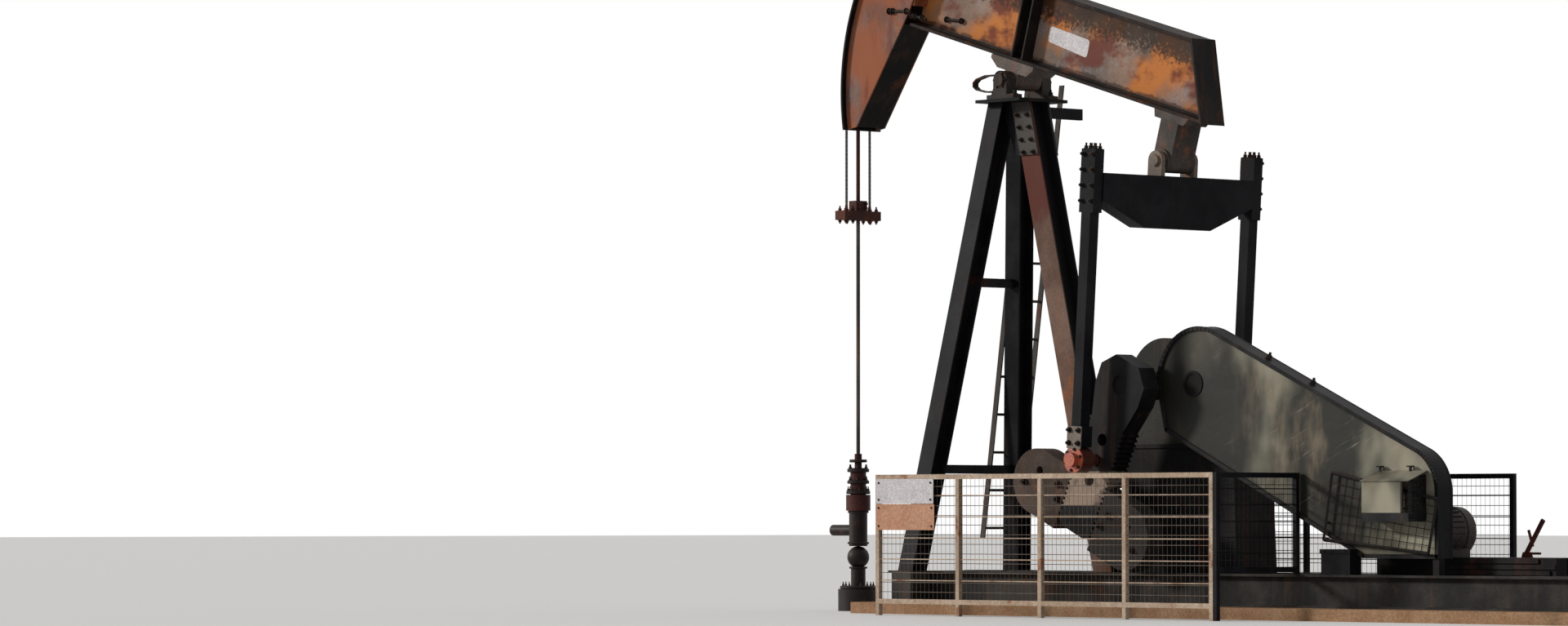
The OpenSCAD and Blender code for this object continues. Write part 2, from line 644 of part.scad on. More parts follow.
box_d = 130;
box_top = 1170;
gland_d = 60;
module stuffing_box() color("#5a2f2c") translate([rope_x, 0, 0]) {
    translate([0, 0, tee_top]) cylinder(d = box_flange_d, h = box_flange_top - tee_top, $fn = 48);
    translate([0, 0, box_flange_top]) cylinder(d = box_d, h = box_top - box_flange_top, $fn = 48);
    translate([0, 0, box_top]) cylinder(d = gland_d, h = stuffing_z - box_top, $fn = 48);
}

concrete_pad();
skid_runners();
skid_cross_members();
front_leg_near();
front_leg_far();
rear_leg();
leg_braces();
post_cap();
head_gussets();
saddle_bearings();
ladder();
ladder_arm();
walking_beam();
saddle_bracket();
saddle_shaft();
horsehead_face();
horsehead_cheeks();
horsehead_back();
head_ropes();
head_mounts();
tail_bearing();
equalizer();
equalizer_lugs();
tail_pin();
pitman_near();
pitman_far();
wrist_bearing_near();
wrist_bearing_far();
crank_near();
crank_far();
crankshaft();
weights_near();
weights_far();
carrier_bar();
rod_clamp();
polished_rod();
bridle_ropes();
gearbox_pedestal();
gear_case();
gear_case_cover();
belt_guard();
guard_leg();
motor();
motor_rails();
brake_lever();
fence_near();
fence_rear();
fence_far();
casing_head();
pumping_tee();
stuffing_box();
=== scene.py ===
from math import atan2, cos, pi, radians, sin

import bmesh
import bpy
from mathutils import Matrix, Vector
from mathutils.geometry import tessellate_polygon


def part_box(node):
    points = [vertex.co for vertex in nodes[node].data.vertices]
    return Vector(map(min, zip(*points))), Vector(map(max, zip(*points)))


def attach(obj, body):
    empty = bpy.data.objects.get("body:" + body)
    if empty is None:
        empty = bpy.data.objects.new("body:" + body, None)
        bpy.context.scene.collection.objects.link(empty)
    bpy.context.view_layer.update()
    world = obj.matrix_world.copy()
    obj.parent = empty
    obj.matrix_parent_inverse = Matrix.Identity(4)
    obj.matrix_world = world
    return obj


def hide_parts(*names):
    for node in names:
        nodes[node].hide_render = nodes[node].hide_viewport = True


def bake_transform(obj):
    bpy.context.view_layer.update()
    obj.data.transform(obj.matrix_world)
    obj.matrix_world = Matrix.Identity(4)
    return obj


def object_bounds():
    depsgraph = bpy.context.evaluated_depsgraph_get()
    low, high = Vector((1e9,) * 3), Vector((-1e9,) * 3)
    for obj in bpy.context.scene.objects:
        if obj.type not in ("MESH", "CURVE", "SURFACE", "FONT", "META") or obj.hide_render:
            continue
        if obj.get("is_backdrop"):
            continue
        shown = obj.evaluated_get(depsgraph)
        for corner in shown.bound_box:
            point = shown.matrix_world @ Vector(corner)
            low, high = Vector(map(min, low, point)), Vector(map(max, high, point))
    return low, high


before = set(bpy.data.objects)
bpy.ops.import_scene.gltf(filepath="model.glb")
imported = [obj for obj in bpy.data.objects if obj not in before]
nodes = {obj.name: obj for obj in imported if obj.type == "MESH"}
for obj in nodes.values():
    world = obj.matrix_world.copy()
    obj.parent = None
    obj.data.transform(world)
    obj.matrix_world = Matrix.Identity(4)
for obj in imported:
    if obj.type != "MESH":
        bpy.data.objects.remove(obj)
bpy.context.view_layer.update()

# The camera and the studio. The pumpjack stands on a plain pale floor, seen from low down and far off,
# through a long lens. Soft light comes from all round, with a low lamp from the near side.
scene = bpy.context.scene
camera = bpy.data.objects.new("camera", bpy.data.cameras.new("camera"))
scene.collection.objects.link(camera)
scene.camera = camera
camera.data.lens = 138.5
camera.data.sensor_width = 36
camera.data.clip_end = 400
camera.location = (34.39, -33.52, 0.775)
pitch = radians(1.93)
looking = Vector((-0.743 * cos(pitch), 0.669 * cos(pitch), sin(pitch)))
camera.rotation_mode = "QUATERNION"
camera.rotation_quaternion = looking.to_track_quat("-Z", "Y")
scene.view_settings.view_transform = "Standard"


def new_coat(name):
    """A material, with its node tree and its shader's sockets."""
    coat = bpy.data.materials.new(name)
    coat.use_nodes = True
    return coat, coat.node_tree, coat.node_tree.nodes["Principled BSDF"].inputs


def feed(tree, socket, value):
    """Sets a socket to a number or a colour, or links another socket to it."""
    if isinstance(value, (int, float)):
        socket.default_value = value
    elif isinstance(value, tuple):
        socket.default_value = (*value, 1)
    else:
        tree.links.new(value, socket)


def combine(tree, kind, first, second):
    node = tree.nodes.new("ShaderNodeMath")
    node.operation = kind
    feed(tree, node.inputs[0], first)
    feed(tree, node.inputs[1], second)
    return node.outputs[0]


floor_mesh = bpy.data.meshes.new("studio_floor")
floor_mesh.from_pydata([(-150, -150, 0), (150, -150, 0), (150, 150, 0), (-150, 150, 0)], [], [(0, 1, 2, 3)])
floor = bpy.data.objects.new("studio_floor", floor_mesh)
scene.collection.objects.link(floor)
floor_coat, _, floor_shader = new_coat("studio_floor")
floor_shader["Base Color"].default_value = (0.8, 0.8, 0.8, 1)
floor_shader["Roughness"].default_value = 0.9
floor_mesh.materials.append(floor_coat)
floor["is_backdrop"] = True

world = bpy.data.worlds.new("studio")
scene.world = world
world.use_nodes = True
sky = world.node_tree
background = sky.nodes["Background"]
rays = sky.nodes.new("ShaderNodeLightPath").outputs
seen = combine(sky, "MAXIMUM", rays["Is Camera Ray"], rays["Is Glossy Ray"])
seen = combine(sky, "MAXIMUM", seen, rays["Is Transmission Ray"])
strength = sky.nodes.new("ShaderNodeMapRange")
strength.inputs["To Min"].default_value = 0.38
strength.inputs["To Max"].default_value = 1.0
feed(sky, strength.inputs["Value"], seen)
feed(sky, background.inputs["Strength"], strength.outputs["Result"])
background.inputs["Color"].default_value = (1, 1, 1, 1)

lamp = bpy.data.objects.new("low_lamp", bpy.data.lights.new("low_lamp", "SUN"))
lamp.data.energy = 2.6
lamp.data.angle = radians(8)
lamp.data.color = (1, 0.96, 0.9)
lamp.rotation_mode = "QUATERNION"
lamp.rotation_quaternion = Vector((0.70, 0.62, -0.35)).to_track_quat("-Z", "Y")
scene.collection.objects.link(lamp)

# The walking beam is a rolled steel I-section, painted pale grey long ago. Rust has come through the paint of
# the web in clouds, burnt brown where water lies, and the web is darker along its foot, by the lower flange.
# The flanges have gone black, and the near-black of the stiffeners and the tail plate is painted shade, for
# they face away from the light.


def place_in(tree, turn):
    """The place on the object, turned by three angles."""
    place = tree.nodes.new("ShaderNodeTexCoord").outputs["Object"]
    if any(turn):
        mapping = tree.nodes.new("ShaderNodeMapping")
        mapping.inputs["Rotation"].default_value = turn
        tree.links.new(place, mapping.inputs["Vector"])
        place = mapping.outputs["Vector"]
    return place


def along(tree, axis, turn=(0, 0, 0)):
    """The distance along an axis of the frame."""
    parts = tree.nodes.new("ShaderNodeSeparateXYZ")
    tree.links.new(place_in(tree, turn), parts.inputs["Vector"])
    return parts.outputs[axis]


def cloud(tree, scale, detail, rough, stretch=(1, 1, 1), turn=(0, 0, 0)):
    mapping = tree.nodes.new("ShaderNodeMapping")
    mapping.inputs["Scale"].default_value = stretch
    tree.links.new(place_in(tree, turn), mapping.inputs["Vector"])
    noise = tree.nodes.new("ShaderNodeTexNoise")
    noise.inputs["Detail"].default_value = detail
    noise.inputs["Roughness"].default_value = rough
    tree.links.new(mapping.outputs["Vector"], noise.inputs["Vector"])
    feed(tree, noise.inputs["Scale"], scale)
    return noise.outputs["Fac"]


def ramp(tree, value, low, high, bottom=0.0, top=1.0):
    step = tree.nodes.new("ShaderNodeMapRange")
    step.interpolation_type = "SMOOTHSTEP"
    for title, number in (("Value", value), ("From Min", low), ("From Max", high), ("To Min", bottom),
                          ("To Max", top)):
        feed(tree, step.inputs[title], number)
    return step.outputs["Result"]


def blend_colour(tree, mask, first, second, mode="MIX"):
    mix = tree.nodes.new("ShaderNodeMix")
    mix.data_type = "RGBA"
    mix.blend_type = mode
    for socket, value in ((0, mask), (6, first), (7, second)):
        feed(tree, mix.inputs[socket], value)
    return mix.outputs[2]


weather = bpy.data.node_groups.new("weathered_paint", "ShaderNodeTree")
for title, kind, value in (
        ("Paint", "Color", (0.5, 0.5, 0.5, 1)), ("Faded", "Color", (0.6, 0.6, 0.6, 1)),
        ("Rust", "Color", (0.4, 0.14, 0.04, 1)), ("Burnt", "Color", (0.09, 0.035, 0.02, 1)),
        ("Patch Scale", "Float", 1.6), ("Rust Amount", "Float", 0.5), ("Roughness", "Float", 0.6)):
    weather.interface.new_socket(title, in_out="INPUT", socket_type="NodeSocket" + kind).default_value = value
for title, kind in (("Color", "Color"), ("Roughness", "Float"), ("Height", "Float")):
    weather.interface.new_socket(title, in_out="OUTPUT", socket_type="NodeSocket" + kind)
given = weather.nodes.new("NodeGroupInput").outputs
result = weather.nodes.new("NodeGroupOutput").inputs
patches = cloud(weather, given["Patch Scale"], 6, 0.62)
edge = combine(weather, "SUBTRACT", 0.78, combine(weather, "MULTIPLY", given["Rust Amount"], 0.5))
rust_mask = ramp(weather, patches, edge, combine(weather, "ADD", edge, 0.13))
fading = ramp(weather, cloud(weather, 2.3, 4, 0.6), 0.4, 0.66)
streaks = ramp(weather, cloud(weather, 9, 4, 0.6, (1, 1, 0.08)), 0.52, 0.72, 0, 0.4)
burning = ramp(weather, cloud(weather, 4.5, 6, 0.7), 0.52, 0.68)
speckle = cloud(weather, 70, 4, 0.7)
colour = blend_colour(weather, fading, given["Paint"], given["Faded"])
colour = blend_colour(weather, streaks, colour, given["Rust"])
colour = blend_colour(weather, rust_mask, colour, given["Rust"])
colour = blend_colour(weather, combine(weather, "MULTIPLY", burning, rust_mask), colour, given["Burnt"])
colour = blend_colour(weather, 1.0, colour, ramp(weather, speckle, 0.3, 0.75, 0.6, 1.04), "MULTIPLY")
rust_lumps = combine(weather, "ADD", combine(weather, "MULTIPLY", rust_mask, 0.8), 0.2)
rust_tooth = combine(weather, "MULTIPLY", rust_mask, 0.25)
feed(weather, result["Color"], colour)
feed(weather, result["Roughness"], combine(weather, "ADD", given["Roughness"], rust_tooth))
feed(weather, result["Height"], combine(weather, "MULTIPLY", speckle, rust_lumps))


def emboss(tree, height, strength, distance):
    relief = tree.nodes.new("ShaderNodeBump")
    relief.inputs["Strength"].default_value = strength
    relief.inputs["Distance"].default_value = distance
    tree.links.new(height, relief.inputs["Height"])
    tree.links.new(relief.outputs["Normal"], tree.nodes["Principled BSDF"].inputs["Normal"])


def weathered(name, paint, faded, patch, amount, roughness, rust=(0.36, 0.125, 0.04),
              burnt=(0.08, 0.03, 0.018), metallic=0.0, bump=0.25, spread=0.004, gloss=0.1):
    coat, tree, shader = new_coat(name)
    layers = tree.nodes.new("ShaderNodeGroup")
    layers.node_tree = weather
    for title, value in (("Paint", paint), ("Faded", faded), ("Rust", rust), ("Burnt", burnt),
                         ("Patch Scale", patch), ("Rust Amount", amount), ("Roughness", roughness)):
        feed(tree, layers.inputs[title], value)
    feed(tree, shader["Base Color"], layers.outputs["Color"])
    feed(tree, shader["Roughness"], layers.outputs["Roughness"])
    emboss(tree, layers.outputs["Height"], bump, spread)
    shader["Metallic"].default_value = metallic
    shader["Specular IOR Level"].default_value = gloss
    return coat


def overpaint(coat, mask, colour):
    tree = coat.node_tree
    base = tree.nodes["Principled BSDF"].inputs["Base Color"]
    feed(tree, base, blend_colour(tree, mask, base.links[0].from_socket, colour))


def blotches(coat, colour, cover, low, high, *cloud_values):
    """Lays a colour over a coat in clouds, which cover it up to a share."""
    tree = coat.node_tree
    overpaint(coat, ramp(tree, cloud(tree, *cloud_values), low, high, 0, cover), colour)


beam_tilt, saddle_z = radians(16.3), 4.24
web_paint = weathered("web_paint", (0.15, 0.12, 0.105), (0.29, 0.255, 0.25), rust=(0.36, 0.15, 0.06),
                      burnt=(0.13, 0.03, 0.02), patch=2.4, amount=0.42, roughness=0.6)
blotches(web_paint, (0.34, 0.2, 0.125), 0.55, 0.36, 0.6, 1.1, 2, 0.5)
blotches(web_paint, (0.49, 0.165, 0.035), 0.95, 0.41, 0.57, 1.7, 3, 0.5)
blotches(web_paint, (0.125, 0.026, 0.017), 0.88, 0.49, 0.61, 2.7, 4, 0.58, (0.8, 1, 1.2))
web_tree = web_paint.node_tree
web_height = along(web_tree, "Z", (0, -beam_tilt, 0))
saddle_level = saddle_z * cos(beam_tilt)
crust = combine(web_tree, "MULTIPLY", cloud(web_tree, 30, 8, 0.8),
                ramp(web_tree, web_height, saddle_level + 0.38, saddle_level + 0.72, 0.7, 1.5))
overpaint(web_paint, ramp(web_tree, crust, 0.46, 0.64, 0, 0.92), (0.03, 0.018, 0.013))
# Darker along the foot of the web, by the lower flange.
web_foot_darkening = combine(web_tree, "MULTIPLY", cloud(web_tree, 6, 5, 0.7),
                    ramp(web_tree, web_height, saddle_level + 0.19, saddle_level + 0.27, 1.6, 0.6))
overpaint(web_paint, ramp(web_tree, web_foot_darkening, 0.52, 0.7, 0, 0.8), (0.05, 0.026, 0.02))
# Near-black for the flanges, stiffeners and tail plate; on the stiffeners and tail plate it is painted shade.
flange_black = weathered("flange_black", (0.01, 0.009, 0.009), (0.03, 0.022, 0.02), rust=(0.12, 0.05, 0.028),
                         patch=3, amount=0.42, roughness=0.6, gloss=0.08)


def leaning(x0, z0, angle):
    """Gives the place of a point measured from (x0, z0) along axes that lean by an angle about Y."""
    def place(x, y, z):
        return Vector((x0 + x * cos(angle) + z * sin(angle), y, z0 - x * sin(angle) + z * cos(angle)))
    return place


to_beam = leaning(0, saddle_z, beam_tilt)


def beam_side(*places):
    """The beam's side view of places given by their distance along it and their height above its axis."""
    return [to_beam(s, 0, t).xz for s, t in places]


def oblong(a0, a1, b0, b1):
    return (a0, b0), (a1, b0), (a1, b1), (a0, b1)


def skin(mesh, rings, closed=True):
    """Faces from ring to ring of points. The last ring is always filled, the first one when closed."""
    rings = [[mesh.verts.new(point) for point in ring] for ring in rings]
    for first, second in zip(rings, rings[1:]):
        for i in range(len(first)):
            j = (i + 1) % len(first)
            mesh.faces.new((first[i], first[j], second[j], second[i]))
    if closed:
        mesh.faces.new(rings[0][::-1])
    mesh.faces.new(rings[-1])


def across(mesh, outline, y0, y1):
    """A side view outline, run across the unit from y0 to y1."""
    skin(mesh, [[(x, y, z) for x, z in outline] for y in (y1, y0)])


def made(name, mesh, coat):
    bmesh.ops.recalc_face_normals(mesh, faces=mesh.faces)
    data = bpy.data.meshes.new(name)
    mesh.to_mesh(data)
    mesh.free()
    data.materials.append(coat)
    piece = bpy.data.objects.new(name, data)
    scene.collection.objects.link(piece)
    return piece


def finished(name, mesh, coat, body):
    piece = made(name, mesh, coat)
    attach(piece, body)
    return piece


seat, flange, half_w, front, tail, rake = 0.16, 0.024, 0.127, -1.28, 2.125, 0.282
crest, web_half, fillet, toe, rib, end_plate = seat + 0.61, 0.009, 0.022, 0.004, 0.008, 0.02
web_low, web_high = seat + flange, crest - flange


def tail_at(t):
    return tail - rake * (t - seat) / (crest - seat)


def beam_band(t0, t1):
    return beam_side((front, t0), (tail_at(t0), t0), (tail_at(t1), t1), (front, t1))


beam_steel = bmesh.new()
across(beam_steel, beam_band(web_low, web_high), -web_half, web_half)
for t0, t1, root_t, way in ((seat, web_low, web_low, 1), (web_high, crest, web_high, -1)):
    across(beam_steel, beam_band(t0, t1), -half_w + toe, half_w - toe)
    across(beam_steel, beam_band(t0 + toe, t1 - toe), -half_w, half_w)
    for step in range(4):
        reach = web_half + fillet * (1 - step / 4) ** 2
        levels = sorted((root_t, root_t + way * fillet * (step + 1) / 4))
        across(beam_steel, beam_band(*levels), -reach, reach)
for s in (-0.06, 0.06):
    across(beam_steel, beam_side(*oblong(s - rib, s + rib, web_low, web_high)), -half_w + rib, half_w - rib)
tail_foot, tail_top = tail_at(seat), tail_at(crest)
across(beam_steel, beam_side((tail_foot, seat - toe), (tail_foot + end_plate, seat - toe),
                             (tail_top + end_plate, crest + toe), (tail_top, crest + toe)),
       -half_w - toe, half_w + toe)
beam_piece = finished("beam_section", beam_steel, web_paint, "beam")
beam_piece.data.materials.append(flange_black)
# Every face off the web takes the near-black coat, which on the stiffeners and tail plate is painted shade.
for face in beam_piece.data.polygons:
    on_web = abs(face.center.y) < web_half + 0.003 and abs(face.normal.y) > 0.9
    face.material_index = 0 if on_web else 1
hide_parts("walking_beam")

# A blank plate of white enamelled sheet is fixed to the near side of the web, between the saddle and the
# tail. Its corners are rounded.


def plate(mesh, corners, thick, bevel=0.0):
    """A flat plate on its corners, which a bevel rounds."""
    normal = (corners[1] - corners[0]).cross(corners[2] - corners[0]).normalized()
    outline = []
    for i, corner in enumerate(corners):
        into = (corners[i - 1] - corner).normalized() * bevel
        out = (corners[(i + 1) % len(corners)] - corner).normalized() * bevel
        for turn in (0, 0.25, 0.5, 0.75, 1) if bevel else (1,):
            outline.append(corner + into * (1 - turn) ** 2 + out * turn ** 2)
    skin(mesh, [outline, [point + normal * thick for point in outline]])


enamel = weathered("white_enamel", (0.58, 0.55, 0.58), (0.68, 0.65, 0.67), rust=(0.6, 0.56, 0.54), patch=3,
                   amount=0.1, roughness=0.35, gloss=0.4)
web_plate = bmesh.new()
plate(web_plate, [to_beam(s, -0.01, t) for s, t in (
    (0.205, 0.5), (0.665, 0.488), (0.665, 0.345), (0.205, 0.375))], 0.006, 0.03)
finished("web_plate", web_plate, enamel, "beam")

# The horsehead is a welded box of plate, its cheeks painted and rusted like the beam, its curved face and
# back near-black, partly old grease and partly painted shade, as they face away from the light. Threaded rods
# with nuts tie it to the beam on both sides.


def dress(coat, *parts):
    """Gives solids of the frame their coat."""
    for part in parts:
        piece = nodes[part]
        if not piece.material_slots:
            piece.data.materials.append(coat)
        for holder in piece.material_slots:
            holder.link = "OBJECT"
            holder.material = coat


cheek_paint = weathered("cheek_paint", (0.13, 0.085, 0.07), (0.24, 0.17, 0.15), rust=(0.4, 0.12, 0.05),
                        burnt=(0.13, 0.024, 0.018), patch=2.6, amount=0.36, roughness=0.6)
blotches(cheek_paint, (0.27, 0.078, 0.03), 0.9, 0.4, 0.58, 1.6, 3, 0.5)
blotches(cheek_paint, (0.13, 0.03, 0.02), 0.75, 0.5, 0.68, 5, 5, 0.65, (1, 1, 0.3))
dress(cheek_paint, "horsehead_cheeks", "head_mounts")
head_black = weathered("head_black", (0.009, 0.008, 0.008), (0.016, 0.014, 0.013), rust=(0.08, 0.035, 0.02),
                       patch=3, amount=0.4, roughness=0.5, gloss=0.06)
# The near-black of the head's curved face and back is partly grease and partly painted shade.
dress(head_black, "horsehead_face", "horsehead_back")


def circle(a, b, radius, count, start=0.0):
    """Points round the centre (a, b), as pairs."""
    angles = [start + 2 * pi * i / count for i in range(count)]
    return [(a + radius * cos(angle), b + radius * sin(angle)) for angle in angles]


def bolt(mesh, at, axis, radius, height, stud=0.0):
    """A washer and a hexagon nut or head on it, from which a stud may stand out."""
    turn = Vector(axis).normalized().to_track_quat("Z", "Y").to_matrix()
    drums = [(16, radius * 1.45, 0, height * 0.18), (6, radius, height * 0.18, height)]
    if stud:
        drums.append((8, radius * 0.5, height, height + stud))
    for sides, wide, low, high in drums:
        skin(mesh, [[Vector(at) + turn @ Vector((x, y, z)) for x, y in circle(0, 0, wide, sides)]
                    for z in (low, high)])


def wire(mesh, first, second, radius, sides=4):
    turn = (Vector(second) - Vector(first)).to_track_quat("Z", "Y").to_matrix()
    skin(mesh, [[Vector(end) + turn @ Vector((x, y, 0)) for x, y in circle(0, 0, radius, sides)]
                for end in (first, second)])


bolt_black = weathered("bolt_black", (0.012, 0.01, 0.01), (0.03, 0.025, 0.022), rust=(0.14, 0.05, 0.025),
                       patch=12, amount=0.45, roughness=0.5, gloss=0.08)
head_bolts = bmesh.new()
for side in (-1, 1):
    for ends in (((-1.499, 0.225), (-1.252, 0.281)), ((-1.226, 0.25), (-1.05, 0.262))):
        first, second = (to_beam(s, side * 0.172, t) for s, t in ends)
        run = (second - first).normalized()
        wire(head_bolts, first, second, 0.011, 8)
        for at in (first, first + run * 0.045, second - run * 0.05):
            bolt(head_bolts, at, run, 0.019, 0.024)
        middle = first.lerp(second, 0.5)
        wire(head_bolts, middle, middle - Vector((0, side * 0.02, 0)), 0.014, 8)
    first, second = (to_beam(s, side * 0.024, t) for s, t in ((-0.973, 0.284), (-0.8, 0.31)))
    wire(head_bolts, first, second, 0.012, 8)
    for at in (first, second):
        bolt(head_bolts, at, second - first, 0.018, 0.022)
    middle = first.lerp(second, 0.5)
    wire(head_bolts, middle, middle - Vector((0, side * 0.016, 0)), 0.014, 8)
finished("head_bolts", head_bolts, bolt_black, "beam")

# The bridle is two wire ropes that lie on the horsehead's face and hang to the carrier bar. They are black
# with grease, and their strands show as a fine twist.
wire_rope, rope_tree, rope_shader = new_coat("wire_rope")
strand = rope_tree.nodes.new("ShaderNodeTexWave")
strand.inputs["Scale"].default_value = 30
strand.inputs["Distortion"].default_value = 0.4
feed(rope_tree, strand.inputs["Vector"], place_in(rope_tree, (0.6, 0.5, 0)))
twist = strand.outputs["Fac"]
feed(rope_tree, rope_shader["Base Color"],
     blend_colour(rope_tree, twist, (0.02, 0.018, 0.016), (0.09, 0.08, 0.07)))
emboss(rope_tree, twist, 0.6, 0.003)
rope_shader["Roughness"].default_value = 0.45
rope_shader["Metallic"].default_value = 0.4
dress(wire_rope, "head_ropes")


rope_lay = 0.035


def run_down(name, coat, levels, centres, radius, sides, lobes=0, lobe=0.0):
    """A rope or rod of rings at the given levels, for each centre. Its lobes wind round it as strands do."""
    run = bmesh.new()
    angles = [2 * pi * i / sides for i in range(sides)]
    for x, y in centres:
        rings = []
        for z in levels:
            reaches = [radius + lobe * cos(lobes * angle - z * 2 * pi / rope_lay) for angle in angles]
            rings.append([(x + reach * cos(angle), y + reach * sin(angle), z)
                          for angle, reach in zip(angles, reaches)])
        skin(run, rings)
    return made(name, run, coat)


rope_low, rope_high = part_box("bridle_ropes")
well_x, rope_side = -1.9293, 0.129
rope_levels = [rope_low.z + (rope_high.z - rope_low.z) * k / 150 for k in range(151)]
bridle = run_down("bridle_strands", wire_rope, rope_levels,
                  ((well_x, -rope_side), (well_x, rope_side)), 0.0102, 24, 6, 0.0008)
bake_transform(bridle)
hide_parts("bridle_ropes")

# The carrier bar hangs in the bridle and the polished rod passes through it, held by a clamp bolted on top.
# Both are dark red oxide, and the rod is oily steel.
red_oxide = weathered("red_oxide", (0.05, 0.016, 0.013), (0.1, 0.03, 0.022), rust=(0.13, 0.04, 0.02), patch=6,
                      amount=0.5, roughness=0.5)
rod_steel = weathered("rod_steel", (0.05, 0.042, 0.038), (0.09, 0.08, 0.07), patch=5, amount=0.2,
                      roughness=0.3, metallic=0.7, bump=0.05, gloss=0.4)
dress(red_oxide, "carrier_bar", "rod_clamp")
rod_low, rod_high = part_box("polished_rod")
rod_levels = [rod_low.z - 0.006 + (rod_high.z - rod_low.z + 0.016) * k / 60 for k in range(61)]
rod_run = run_down("rod_length", rod_steel, rod_levels, ((well_x, 0),), 0.016, 32)
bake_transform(rod_run)
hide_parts("polished_rod")
carrier_low, carrier_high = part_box("carrier_bar")
carrier_bolts = bmesh.new()
for y in (-0.17, -0.09, 0.09, 0.17):
    for x in (carrier_low.x + 0.025, carrier_high.x - 0.025):
        bolt(carrier_bolts, (x, y, carrier_high.z), (0, 0, 1), 0.014, 0.02, 0.02)
        bolt(carrier_bolts, (x, y, carrier_low.z), (0, 0, -1), 0.014, 0.018, 0.012)
for z in (carrier_high.z + 0.025, carrier_high.z + 0.06):
    for side in (-1, 1):
        bolt(carrier_bolts, (well_x + 0.045, side * 0.04, z), (1, 0, 0), 0.011, 0.016, 0.012)
finished("carrier_bolts", carrier_bolts, red_oxide, "rod")

# The saddle is a cast bracket under the beam, on a shaft in two pillow blocks. A bent flat bar stands out
# from the near block.
casting_dark = weathered("casting_dark", (0.035, 0.03, 0.028), (0.075, 0.064, 0.056), rust=(0.17, 0.07, 0.04),
                         patch=4, amount=0.45, roughness=0.62, bump=0.4, gloss=0.1)
saddle_grey = weathered("saddle_grey", (0.13, 0.105, 0.092), (0.22, 0.18, 0.158), rust=(0.28, 0.11, 0.075),
                        patch=3, amount=0.5, roughness=0.62, bump=0.4)
dress(saddle_grey, "saddle_bracket")
dress(casting_dark, "saddle_shaft", "saddle_bearings")
saddle_bolts = bmesh.new()
for side in (-1, 1):
    for x, z in circle(0, saddle_z, 0.06, 6):
        bolt(saddle_bolts, (x, side * 0.25, z), (0, side, 0), 0.009, 0.012)
    for x in (-0.12, 0.12):
        bolt(saddle_bolts, (x, side * 0.2, 4.125), (0, 0, 1), 0.018, 0.03, 0.02)
finished("saddle_bolts", saddle_bolts, bolt_black, "root")
hoop_path = [(-0.076, 4.285), (-0.2, 4.285), (-0.3, 4.262), (-0.335, 4.235), (-0.335, 4.205), (-0.3, 4.178),
             (-0.2, 4.155), (-0.076, 4.155)]
hoop_half, hoop_near, hoop_far = 0.005, -0.225, -0.165
hoop_rings = []
for i, (x, z) in enumerate(hoop_path):
    back, on = hoop_path[max(i - 1, 0)], hoop_path[min(i + 1, len(hoop_path) - 1)]
    run = Vector((on[0] - back[0], 0, on[1] - back[1])).normalized()
    out = Vector((run.z, 0, -run.x)) * hoop_half
    hoop_rings.append([Vector((x, y, z)) + out * way for y, way in (
        (hoop_near, 1), (hoop_far, 1), (hoop_far, -1), (hoop_near, -1))])
hoop = bmesh.new()
skin(hoop, hoop_rings)
finished("saddle_hoop", hoop, bolt_black, "root")

# The samson post is three H-section legs, two to the well side and one to the rear, in black paint. The rear
# leg's near flange has weathered to pink and tan, and the rest of that leg carries painted shade in
# near-black.


def span_mask(tree, axis, low, high):
    """1 between low and high along an axis of the frame."""
    value = along(tree, axis)
    over, under = combine(tree, "GREATER_THAN", value, low), combine(tree, "LESS_THAN", value, high)
    return combine(tree, "MULTIPLY", over, under)


leg_black = weathered("leg_black", (0.007, 0.007, 0.009), (0.018, 0.018, 0.022), rust=(0.03, 0.015, 0.011),
                      patch=2.2, amount=0.35, roughness=0.5, gloss=0.05)
dress(leg_black, "front_leg_near", "front_leg_far", "leg_braces", "post_cap")
rear_paint = weathered("rear_leg_paint", (0.12, 0.066, 0.048), (0.21, 0.13, 0.1), rust=(0.3, 0.115, 0.05),
                       burnt=(0.11, 0.022, 0.018), patch=1.5, amount=0.5, roughness=0.6)
rear_tree = rear_paint.node_tree
red_top = combine(rear_tree, "MULTIPLY", cloud(rear_tree, 2.6, 4, 0.6),
                  ramp(rear_tree, along(rear_tree, "Z"), 2.3, 3.9, 0.5, 1.7))
overpaint(rear_paint, ramp(rear_tree, red_top, 0.5, 0.72, 0, 0.85), (0.085, 0.016, 0.011))
# Painted shade: every face of the rear leg except its near flange is overpainted near-black.
rear_leg_painted_shade = combine(rear_tree, "SUBTRACT", 1.0, span_mask(rear_tree, "Y", -1.0, -0.088))
overpaint(rear_paint, rear_leg_painted_shade, (0.012, 0.011, 0.012))
dress(rear_paint, "rear_leg")

# A plate is bolted over each flange of the rear leg under the cap, and a second, dark one runs from it to the
# front leg. Two columns of four bolts lean with the rear leg.
gusset_paint = weathered("gusset_paint", (0.03, 0.026, 0.025), (0.075, 0.066, 0.06), rust=(0.12, 0.06, 0.04),
                         patch=4, amount=0.4, roughness=0.55)
leg_top_x, leg_top_z, leg_foot_x, leg_foot_z = 0.09, 4.065, 0.99, 0.34


def rear_axis(z):
    return leg_top_x + (leg_top_z - z) * (leg_foot_x - leg_top_x) / (leg_top_z - leg_foot_z)


